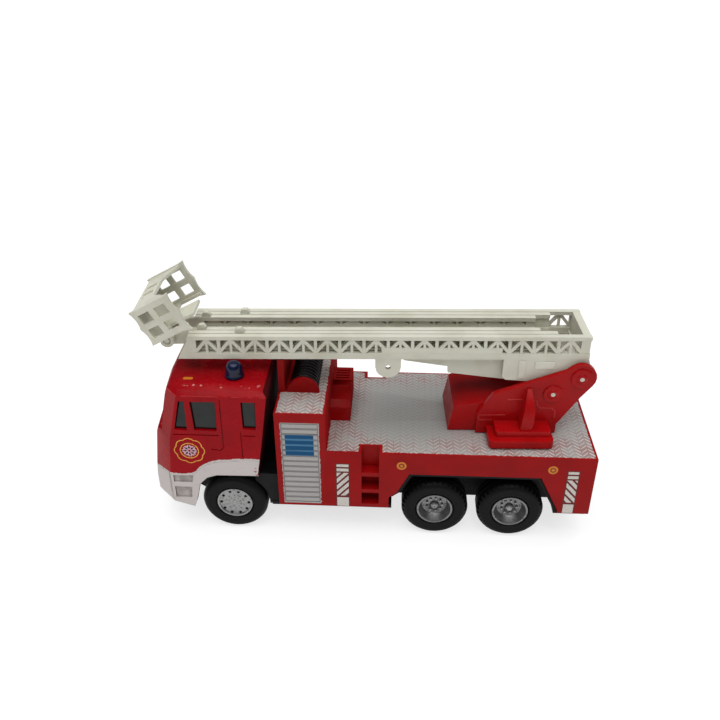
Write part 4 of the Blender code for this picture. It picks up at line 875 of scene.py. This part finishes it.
@dataclass
class Cab:
    """The cast cab with its windows, beacons and printed marks.

    Attributes:
        soft: rounding of the casting's outer edges.
        crisp: rounding of its openings and lines.
        rear: where the rear wall's outer face ends.
        swell: how far that wall bulges, as cast walls do.
        blunt: the angles in degrees between which an outer edge is rounded widely.
        shortest: the shortest edge that is.
        skin: the height of the roof's edge, and how far out and forward the outer skin lies.
        beacon_place: foot of the left beacon.
        beacon: the beacon's outline as radii and heights.
        badge: middle of the rings printed on each door.
        side: how far out the door panel lies.
        roof_mark: the amber bar's middle on the roof.
        mark_size: its length and width.
        mark_round: rounding of its corners.
        steps: faces round a beacon, and corners round a badge.
    """

    soft: float = 0.8
    crisp: float = 0.14
    rear: float = 31.3
    swell: float = 0.7
    blunt: Point = (14.0, 66.0)
    shortest: float = 3.0
    skin: Place = (53.5, 23.9, 60.0)
    beacon_place: Place = (41.4, 14.9, 55.8)
    beacon: tuple[Point, ...] = (
        (0.0, 0.0), (3.0, 0.0), (3.0, 0.42), (2.88, 0.56), (2.8, 0.78), (2.66, 1.7), (2.52, 2.7),
        (2.36, 3.4), (2.12, 3.95), (1.78, 4.38), (1.36, 4.64), (0.9, 4.78), (0.0, 4.84),
    )
    badge: Point = (56.1, 32.8)
    side: float = 24.0
    roof_mark: Place = (55.6, 16.9, 55.5)
    mark_size: Point = (3.0, 1.3)
    mark_round: float = 0.4
    steps: tuple[int, int] = (48, 96)

    def build(self, nodes: Nodes) -> None:
        """Dresses the cab.

        Args:
            nodes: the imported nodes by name.
        """
        bm = merged(nodes["cab"])
        for vert in bm.verts:
            if vert.co.x < self.rear:
                vert.co.x -= self.swell
        bevelled(bm, [edge for edge in bm.edges if self.is_shoulder(edge)], self.soft, 4)
        shell = new_piece(bm, "cab_shell", "vehicle", "cab_paint", ENAMEL, ["cab"])
        rounded(shell, self.crisp, 2, 50.0)
        coated(nodes["cab_glazing"], SMOKED)
        self.build_roof_mark()
        for side in Side:
            self.build_beacon(side)
            self.build_badge(side)

    def is_shoulder(self, edge: bmesh.types.BMEdge) -> bool:
        """Tells whether an edge is a blunt one of the outer skin, such as the roof's or the nose's.

        Args:
            edge: the edge.

        Returns:
            Whether it is rounded widely.
        """
        if len(edge.link_faces) != 2 or not edge.is_convex or edge.calc_length() < self.shortest:
            return False
        middle = (edge.verts[0].co + edge.verts[1].co) / 2
        high, wide, forward = self.skin
        outside = middle.z > high or abs(middle.y) > wide or middle.x > forward
        return outside and self.blunt[0] < math.degrees(edge.calc_face_angle()) < self.blunt[1]

    def build_beacon(self, side: Side) -> None:
        """Makes the blue dome on one side of the roof.

        Args:
            side: the side of the vehicle.
        """
        x, y, z = self.beacon_place
        place = Matrix.Translation((x, side.value * y, z))
        name = side.name.lower()
        dome = turned(self.beacon, self.steps[0])
        beacon = [f"beacon_{name}"]
        new_piece(dome, f"beacon_dome_{name}", "vehicle", "beacon_blue", BLUE, beacon, place)

    def build_badge(self, side: Side) -> None:
        """Makes the plain scalloped rings printed on a door.

        Args:
            side: the side of the vehicle.
        """
        place = outward(side, self.badge[0], self.side - INK_SUNK, self.badge[1])
        # Columns: name, radius, lobes round it, depth of the lobes, width of the line, finish
        for name, radius, lobes, depth, line, finish in (
            ("badge_rim", 4.75, 8, 0.45, 0.3, GOLD_INK),
            ("badge_ring", 3.05, 1, 0.0, 0.32, GOLD_INK),
            ("badge_rosette", 2.15, 8, 0.5, 1.15, PINK_INK),
        ):
            bm = disc(radius, self.steps[1])
            for vert in bm.verts:
                angle = math.atan2(vert.co.y, vert.co.x)
                vert.co *= 1 + depth / radius * (abs(math.cos(lobes / 2 * angle)) - 0.5)
            inside = bm.faces[:]
            bmesh.ops.inset_region(
                bm, faces=inside, thickness=line, use_boundary=True, use_even_offset=True
            )
            bmesh.ops.delete(bm, geom=inside, context="FACES")
            thickened(bm, (0, 0, 2 * INK_SUNK))
            new_piece(bm, f"{name}_{side.name.lower()}", "vehicle", "cab_paint", finish, place=place)

    def build_roof_mark(self) -> None:
        """Makes the bare amber bar on the roof."""
        bm = bmesh.new()
        size = Matrix.Diagonal((*self.mark_size, 2 * INK_SUNK, 1))
        bmesh.ops.create_cube(bm, size=1.0, matrix=Matrix.Translation(self.roof_mark) @ size)
        corners = [edge for edge in bm.edges if abs(edge.verts[0].co.z - edge.verts[1].co.z) > INK_SUNK]
        bevelled(bm, corners, self.mark_round, 3)
        new_piece(bm, "roof_mark", "vehicle", "cab_paint", AMBER_INK)


@dataclass
class Body:
    """The moulded body with its printed strips and lamps, and the hose on its reel.

    Attributes:
        soft: rounding of the long outer corners.
        crisp: rounding of all other edges.
        side: how far out the side panels lie.
        ends: where the body's upright outer faces across the vehicle stand.
        shortest: the shortest corner that is rounded softly.
        tops: heights of its decks.
        shutter: rear, front, foot and top of the shutters.
        gap_depths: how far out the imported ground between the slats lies, from and to.
        gap_out: how far out it is brought, so that the slats meet in soft lines.
        strips: each strip's rear and front, foot and top, and the lean of its stripes in degrees.
        striped: how far over the foot the slanted stripes begin, and how far under the top they end.
        stripe: a slanted stripe's length, before its ends are cut off, and thickness.
        stripe_pitch: height from one to the next.
        stripe_count: how many there are.
        foot_bar: height of the level bar at the foot.
        top_bars: foot and top of each level bar above, counted down from the top.
        margin: how far the darker ground reaches past the strip.
        lamps: middles of the printed lamps, as x and z.
        reel: middle of the hose reel, as x and z.
        reel_radius: radius over the hose.
        reel_half: half its length.
        windings: turns of the hose.
        groove: depth between two turns.
        arch: outline of one turn, as places along it and heights over its groove.
        cut: the height below which the box hides it.
        steps: faces round the hose, and round a lamp.
    """

    soft: float = 0.7
    crisp: float = 0.25
    side: float = 24.0
    ends: tuple[float, ...] = (-71.8, 12.7, 28.6)
    shortest: float = 5.0
    tops: tuple[float, ...] = (33.9, 48.0)
    shutter: tuple[float, float, float, float] = (14.8, 26.8, 12.8, 44.7)
    gap_depths: Point = (23.5, 23.7)
    gap_out: float = 23.8
    strips: tuple[tuple[float, float, float, float, float], ...] = (
        (5.7, 9.5, 11.9, 29.1, 48.0), (-66.6, -63.3, 11.9, 28.8, -48.0),
    )
    striped: Point = (4.4, 3.4)
    stripe: Point = (9.0, 1.15)
    stripe_pitch: float = 2.7
    stripe_count: int = 5
    foot_bar: float = 3.6
    top_bars: tuple[Point, ...] = ((2.8, 1.65), (1.0, 0.0))
    margin: float = 0.4
    lamps: tuple[Point, ...] = ((-11.1, 29.2), (-58.4, 29.3))
    reel: Point = (20.647, 48.0)
    reel_radius: float = 4.7
    reel_half: float = 10.3
    windings: int = 12
    groove: float = 0.7
    arch: tuple[Point, ...] = ((0.03, 0.0), (0.14, 0.5), (0.3, 0.88), (0.5, 1.0), (0.7, 0.88), (0.86, 0.5))
    cut: float = 48.3
    steps: tuple[int, int] = (64, 32)

    def build(self, nodes: Nodes) -> None:
        """Dresses the body.

        Args:
            nodes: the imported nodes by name.
        """
        bm = merged(nodes["body"])
        for vert in bm.verts:
            if self.is_in_shutter(vert.co):
                vert.co.y = math.copysign(self.gap_out, vert.co.y)
        bevelled(bm, [edge for edge in bm.edges if self.is_corner(edge)], self.soft, 4)
        shell = new_piece(bm, "body_shell", "vehicle", "body_plastic", STAMPED, ["body"])
        rounded(shell, self.crisp, 3, 40.0)
        self.build_hose()
        for side in Side:
            self.build_strips(side)
            self.build_lamps(side)

    def is_in_shutter(self, place: Vector) -> bool:
        """Tells whether a place lies on the ground between a shutter's slats."""
        rear, front, foot, top = self.shutter
        low, high = self.gap_depths
        return rear < place.x < front and foot < place.z < top and low < abs(place.y) < high

    def is_corner(self, edge: bmesh.types.BMEdge) -> bool:
        """Tells whether an edge is a long outer corner, between two of the body's outer faces."""
        long = len(edge.link_faces) == 2 and edge.is_convex and edge.calc_length() > self.shortest
        return long and all(self.is_outer(face) for face in edge.link_faces)

    def is_outer(self, face: bmesh.types.BMFace) -> bool:
        """Tells whether a face lies in one of the planes that bound the body from outside.

        Args:
            face: the face.

        Returns:
            Whether it is a side, a deck or an end.
        """
        flat, near = 0.99, 0.05
        place, facing = face.verts[0].co, face.normal
        on_side = abs(facing.y) > flat and abs(abs(place.y) - self.side) < near
        on_deck = facing.z > flat and any(abs(place.z - top) < near for top in self.tops)
        on_end = abs(facing.x) > flat and any(abs(place.x - end) < near for end in self.ends)
        return on_side or on_deck or on_end

    def build_hose(self) -> None:
        """Makes the hose wound on its drum."""
        pitch = 2 * self.reel_half / self.windings
        low = self.reel_radius - self.groove
        profile = [(0.0, -self.reel_half)]
        for winding in range(self.windings):
            start = -self.reel_half + winding * pitch
            profile += [(low + self.groove * rise, start + share * pitch) for share, rise in self.arch]
        profile += [(low, self.reel_half), (0.0, self.reel_half)]
        bm = turned(profile, self.steps[0])
        x, z = self.reel
        bmesh.ops.transform(bm, matrix=outward(Side.LEFT, x, 0, z), verts=bm.verts)
        self.slice_off(bm, (0, 0, self.cut), (0, 0, -1))
        new_piece(bm, "hose", "vehicle", "chassis_plastic", HOSE, ["hose_reel"])

    def slice_off(self, bm: Shape, point: Sequence[float], away: Sequence[float]) -> None:
        """Cuts a shape at a plane, drops what lies on the far side and closes the cut.

        Args:
            bm: the shape.
            point: a point of the plane.
            away: the side that is dropped.
        """
        cut = bmesh.ops.bisect_plane(
            bm, geom=bm.verts[:] + bm.edges[:] + bm.faces[:], plane_co=point, plane_no=away, clear_outer=True
        )
        rim = [item for item in cut["geom_cut"] if isinstance(item, bmesh.types.BMEdge)]
        bmesh.ops.holes_fill(bm, edges=rim, sides=0)

    def bar(self, whole: Shape, x: Point, z: Point, thickness: float) -> None:
        """Adds an upright bar of ink on the left side.

        Args:
            whole: the mark that gets it.
            x: its rear and front.
            z: its foot and top.
            thickness: how far it stands out.
        """
        size = Matrix.Diagonal((x[1] - x[0], thickness + INK_SUNK, z[1] - z[0], 1))
        middle = ((x[0] + x[1]) / 2, self.side + (thickness - INK_SUNK) / 2, (z[0] + z[1]) / 2)
        bmesh.ops.create_cube(whole, size=1.0, matrix=Matrix.Translation(middle) @ size)

    def build_strips(self, side: Side) -> None:
        """Makes the striped marks beside the steps and at the rear corner, each on a darker ground.

        Args:
            side: the side of the vehicle.
        """
        mirror = Matrix.Diagonal((1, side.value, 1, 1))
        for number, (rear, front, foot, top, lean) in enumerate(self.strips):
            low, high = foot + self.striped[0], top - self.striped[1]
            stripes, ground = bmesh.new(), bmesh.new()
            size = Matrix.Diagonal((self.stripe[0], 2 * INK_SUNK, self.stripe[1], 1))
            for step in range(self.stripe_count):
                place = Matrix.Translation(((rear + front) / 2, self.side, low + step * self.stripe_pitch))
                turn = place @ Matrix.Rotation(math.radians(lean), 4, "Y")
                bmesh.ops.create_cube(stripes, size=1.0, matrix=turn @ size)
            for point, away in (
                ((rear, 0, 0), (-1, 0, 0)), ((front, 0, 0), (1, 0, 0)),
                ((0, 0, low), (0, 0, -1)), ((0, 0, high), (0, 0, 1)),
            ):
                self.slice_off(stripes, point, away)
            bars = [(top - start, top - end) for start, end in self.top_bars]
            for span in ((foot, foot + self.foot_bar), *bars):
                self.bar(stripes, (rear, front), span, INK_SUNK)
            wide = (rear - self.margin, front + self.margin)
            self.bar(ground, wide, (foot, top + self.margin), INK_SUNK / 2)
            for name, bm, finish in (("strip", stripes, WHITE_INK), ("strip_ground", ground, SHADE_INK)):
                label = f"{name}_{number}_{side.name.lower()}"
                new_piece(bm, label, "vehicle", "body_plastic", finish, place=mirror)

    def build_lamps(self, side: Side) -> None:
        """Makes the round amber lamps printed on a side.

        Args:
            side: the side of the vehicle.
        """
        # Columns: name, radius, thickness, finish
        layers = (
            ("glass", 1.55, 0.045, AMBER_INK),
            ("bulb", 0.95, 0.06, BROWN_INK),
            ("spot", 0.5, 0.075, AMBER_INK),
        )
        for number, (x, z) in enumerate(self.lamps):
            place = outward(side, x, self.side - INK_SUNK, z)
            for layer, radius, thickness, finish in layers:
                bm = disc(radius, self.steps[1])
                thickened(bm, (0, 0, thickness))
                name = f"lamp_{layer}_{number}_{side.name.lower()}"
                new_piece(bm, name, "vehicle", "body_plastic", finish, place=place)


@dataclass
class WheelSet:
    """One axle with its two hubs and two tyres.

    Attributes:
        name: front, middle or rear.
        x: the axle's place along the vehicle.
        deep: whether its hubs are dished and its treads notched.
        radius: the tyre's radius.
        face: how far out the tyre's outer face lies.
        half: half the tyre's width.
        steps: faces round a wheel.
        tyre: the tyre's outline as radii and heights.
        shoulder: the radius and the heights beyond and between which the tread is notched.
        notch: how far in from a face's rim a notch begins, and its depth.
        dome: a front hub's outline.
        dish: a rear hub's outline.
        cap: outline of the cap in a rear hub.
        dome_bolts: rings of bolts on a front hub, as count, the ring's radius, a bolt's radius,
            the height of its foot and its own height.
        dish_bolts: the same on a rear hub.
        taper: a bolt's end over its foot.
        vents: count of a front hub's holes, their ring's radius, a hole's radius, the height of
            its dark bottom and that bottom's thickness.
        small: faces round the cap, a bolt and a hole.
    """

    name: str
    x: float
    deep: bool
    radius: float = 10.83
    face: float = 23.2
    half: float = 4.0
    steps: int = 72
    tyre: tuple[Point, ...] = (
        (6.1, -4.0), (6.1, 3.5), (6.5, 3.95), (6.9, 4.0), (7.6, 3.9), (8.6, 4.0), (9.4, 3.95), (9.95, 3.55),
        (10.5, 2.9), (10.83, 2.2), (10.83, 1.5), (10.4, 1.35), (10.4, 0.95), (10.83, 0.8), (10.83, -0.8),
        (10.4, -0.95), (10.4, -1.35), (10.83, -1.5), (10.83, -2.2), (10.5, -2.9), (9.6, -4.0),
    )
    shoulder: Place = (9.9, 2.2, 3.4)
    notch: Point = (0.06, -0.4)
    dome: tuple[Point, ...] = (
        (0.0, -0.02), (0.7, -0.04), (0.85, -0.2), (1.3, -0.2), (1.5, -0.12), (2.6, -0.22), (3.8, -0.42),
        (4.0, -0.5), (5.1, -0.5), (5.2, -0.12), (5.45, -0.02), (5.8, -0.12), (5.8, -2.0),
    )
    dish: tuple[Point, ...] = (
        (0.0, -1.45), (0.9, -1.5), (1.25, -1.75), (1.5, -2.6), (1.9, -2.8), (3.5, -2.9), (4.0, -2.8),
        (4.6, -1.9), (5.1, -0.45), (5.2, -0.12), (5.4, -0.02), (5.8, -0.12), (5.8, -4.0),
    )
    cap: tuple[Point, ...] = ((0.0, -1.3), (0.75, -1.36), (1.05, -1.6), (1.15, -1.9), (0.0, -1.9))
    dome_bolts: tuple[tuple[float, ...], ...] = ((10, 2.0, 0.4, -0.3, 0.28), (10, 3.0, 0.26, -0.4, 0.36))
    dish_bolts: tuple[tuple[float, ...], ...] = ((9, 2.55, 0.46, -2.95, 0.8), (9, 3.6, 0.22, -2.95, 0.35))
    taper: float = 0.7
    vents: tuple[float, ...] = (10, 4.55, 0.48, -0.55, 0.12)
    small: tuple[int, int, int] = (24, 10, 16)

    def build(self, nodes: Nodes) -> None:
        """Makes both wheels of the axle.

        Args:
            nodes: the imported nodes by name.
        """
        body = f"{self.name}_wheels"
        coated(nodes[f"{self.name}_axle"], STEEL)
        # Dished hubs take the darker metal of painted shade
        metal = SHADED_HUB if self.deep else FRONT_HUB
        for side in Side:
            parts = ("tyre", "hub", "vents")
            tyre, hub, vents = (f"{self.name}_{part}_{side.name.lower()}" for part in parts)
            middle = outward(side, self.x, self.face - self.half, self.radius)
            face = outward(side, self.x, self.face, self.radius)
            new_piece(self.tread(), f"{tyre}_tread", body, "tyre_rubber", RUBBER, [tyre], middle, 40.0)
            shape = turned(self.dish if self.deep else self.dome, self.steps)
            if not self.deep:
                self.add_bolts(shape, self.dome_bolts)
            new_piece(shape, f"{hub}_disc", body, "hub_chrome", metal, [hub], face, 30.0)
            if self.deep:
                bolts = turned(self.cap, self.small[0])
                self.add_bolts(bolts, self.dish_bolts)
                new_piece(bolts, f"{hub}_bolts", body, "hub_chrome", FRONT_HUB, (), face, 30.0)
            else:
                new_piece(self.holes(), vents, body, "hub_chrome", DARK, (), face)

    def tread(self) -> Shape:
        """Makes a tyre, its shoulders notched on the rear axles.

        Returns:
            The tyre about Z.
        """
        bm = turned(self.tyre, self.steps, closed=True)
        bmesh.ops.recalc_face_normals(bm, faces=bm.faces)
        if self.deep:
            notches = []
            beyond, low, high = self.shoulder
            for face in bm.faces:
                middle = face.calc_center_median()
                turn = math.atan2(middle.y, middle.x) / math.tau * self.steps
                reach = math.hypot(middle.x, middle.y)
                if reach > beyond and low < abs(middle.z) < high and math.floor(turn) % 2:
                    notches.append(face)
            inset, depth = self.notch
            bmesh.ops.inset_individual(
                bm, faces=notches, thickness=inset, depth=depth, use_even_offset=True
            )
        return bm

    def ring(self, count: int, radius: float, height: float, first: float = 0.0) -> list[Matrix]:
        """Returns evenly spaced places on a ring, the first one at a share of a step."""
        turns = [Matrix.Rotation(math.tau * (number + first) / count, 4, "Z") for number in range(count)]
        return [Matrix.Translation(turn @ Vector((radius, 0, height))) for turn in turns]

    def add_bolts(self, bm: Shape, rings: Sequence[Sequence[float]]) -> None:
        """Adds rings of tapered bolts.

        Args:
            bm: the shape that gets them.
            rings: each ring, in the columns of dome_bolts.
        """
        for count, ring, radius, foot, height in rings:
            for place in self.ring(count, ring, foot + height / 2, 0.5):
                bmesh.ops.create_cone(
                    bm, cap_ends=True, segments=self.small[1], radius1=radius,
                    radius2=radius * self.taper, depth=height, matrix=place,
                )

    def holes(self) -> Shape:
        """Makes the dark bottoms of the vent holes round a front hub.

        Returns:
            The bottoms about Z.
        """
        count, ring, radius, foot, thickness = self.vents
        bm = disc(radius, self.small[2], *self.ring(count, ring, foot))
        thickened(bm, (0, 0, thickness))
        return bm


@dataclass
class Turntable:
    """The turntable with its two pins and the raised lines on its arm.

    Attributes:
        axis: its axis on the deck.
        slew: how far it is turned, in degrees.
        soft: rounding of its edges.
        arm: how far out an arm's outer face lies.
        lines: outlines of the raised lines, counted from the axis.
        line: a line's width and height.
        crisp: rounding of the lines.
        pins: places of the two pins along and above the turntable.
        pin_end: how far out the pins end.
        collar: outline of the ring round a pin's end, as radii and heights over it.
        steps: faces round it.
    """

    axis: Place = (-48.203, 0.0, 33.9)
    slew: float = 2.36
    soft: float = 0.65
    arm: float = 11.5
    lines: tuple[tuple[Point, ...], ...] = (
        ((5.0, 7.4), (13.0, 7.3), (13.5, 6.9), (13.5, 5.8), (13.0, 5.4), (9.0, 5.4)),
        (
            (4.8, 13.3), (-3.4, 13.3), (-4.5, 12.8), (-4.6, 11.4), (-5.5, 10.2), (-9.5, 10.1), (-10.6, 8.9),
            (-10.6, 6.4),
        ),
    )
    line: Point = (0.36, 0.2)
    crisp: float = 0.08
    pins: tuple[Point, Point] = ((-17.4, 21.2), (-9.1, 15.6))
    pin_end: float = 12.3
    collar: tuple[Point, ...] = (
        (0.72, -0.1), (0.72, 0.02), (0.84, 0.12), (1.3, 0.12), (1.55, 0.0), (1.75, -0.2), (1.75, -0.3),
        (0.9, -0.3),
    )
    steps: int = 32

    def build(self, nodes: Nodes) -> None:
        """Rounds and dresses the moulding and adds the lines.

        Args:
            nodes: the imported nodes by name.
        """
        ride = ("turntable", "turntable_plastic")
        bm = merged(nodes["turntable"])
        rounded(new_piece(bm, "turntable_moulding", *ride, TURNTABLE_RED, ["turntable"]), self.soft, 3)
        for pin in ("lift_pin", "tie_pin"):
            coated(nodes[pin], IVORY)
        bm = bmesh.new()
        for path in self.lines:
            self.add_line(bm, [Vector(point) for point in path])
        thickened(bm, (0, self.line[1] + INK_SUNK, 0))
        place = Matrix.Translation(self.axis) @ Matrix.Rotation(math.radians(self.slew), 4, "Z")
        # The raised lines are drawn in the paler red of a painted highlight
        rounded(new_piece(bm, "arm_lines", *ride, HIGHLIGHT_RED, place=place), self.crisp, 2)
        (x, z), (far_x, far_z) = self.pins
        for side in Side:
            bm = turned(self.collar, self.steps, closed=True)
            # The second pin's ring is a copy, moved while both still lie about Z
            copy = bmesh.ops.duplicate(bm, geom=bm.verts[:] + bm.edges[:] + bm.faces[:])
            moved(bm, copy, (far_x - x, side.value * (z - far_z), 0))
            seat = place @ outward(side, x, self.pin_end, z)
            new_piece(bm, f"pin_collars_{side.name.lower()}", *ride, TURNTABLE_RED, place=seat)

    def add_line(self, bm: Shape, path: list[Vector]) -> None:
        """Adds the flat foot of a raised line against the left arm.

        Args:
            bm: the shape that gets it.
            path: the line's middle as places along and above the turntable.
        """
        edges = ([], [])
        for number, point in enumerate(path):
            before, after = path[max(number - 1, 0)], path[min(number + 1, len(path) - 1)]
            along = (after - before).normalized()
            reach = Vector((-along.y, along.x)) * self.line[0] / 2
            for edge, place in zip(edges, (point + reach, point - reach)):
                edge.append(bm.verts.new((place.x, self.arm - INK_SUNK, place.y)))
        for pair, following in zip(zip(*edges), list(zip(*edges))[1:]):
            bm.faces.new((*pair, *following[::-1]))


@dataclass
class Mouldings:
    """The chassis, the three ladder sections and the basket.

    Attributes:
        pieces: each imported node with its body, slot, finish and rounding.
    """

    pieces: tuple[tuple[str, str, str, Finish, float], ...] = (
        ("chassis", "vehicle", "chassis_plastic", BLACK, 0.2),
        ("ladder_base", "ladder_base", "ladder_plastic", IVORY, 0.16),
        ("ladder_mid", "ladder_mid", "ladder_plastic", IVORY, 0.12),
        ("ladder_fly", "ladder_fly", "ladder_plastic", IVORY, 0.12),
        ("basket", "basket", "ladder_plastic", IVORY, 0.25),
    )

    def build(self, nodes: Nodes) -> None:
        """Rounds and dresses each moulding.

        Args:
            nodes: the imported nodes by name.
        """
        for node, body, slot, finish, width in self.pieces:
            piece = new_piece(merged(nodes[node]), f"{node}_moulding", body, slot, finish, [node])
            rounded(piece, width, 2)
        coated(nodes["basket_pin"], IVORY)


def main() -> None:
    """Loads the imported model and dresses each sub-assembly."""
    logging.basicConfig(level=logging.INFO, format="%(name)s: %(message)s")
    bpy.context.scene.view_settings.view_transform = "Standard"
    for startup in list(bpy.data.objects):
        bpy.data.objects.remove(startup, do_unlink=True)
    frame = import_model()
    nodes = frame["nodes"]
    Studio().build()
    Cab().build(nodes)
    Body().build(nodes)
    for name, x, deep in (("front", 43.597, False), ("middle", -22.303, True), ("rear", -46.803, True)):
        WheelSet(name, x, deep).build(nodes)
    Turntable().build(nodes)
    Mouldings().build(nodes)


if __name__ == "__main__":
    main()
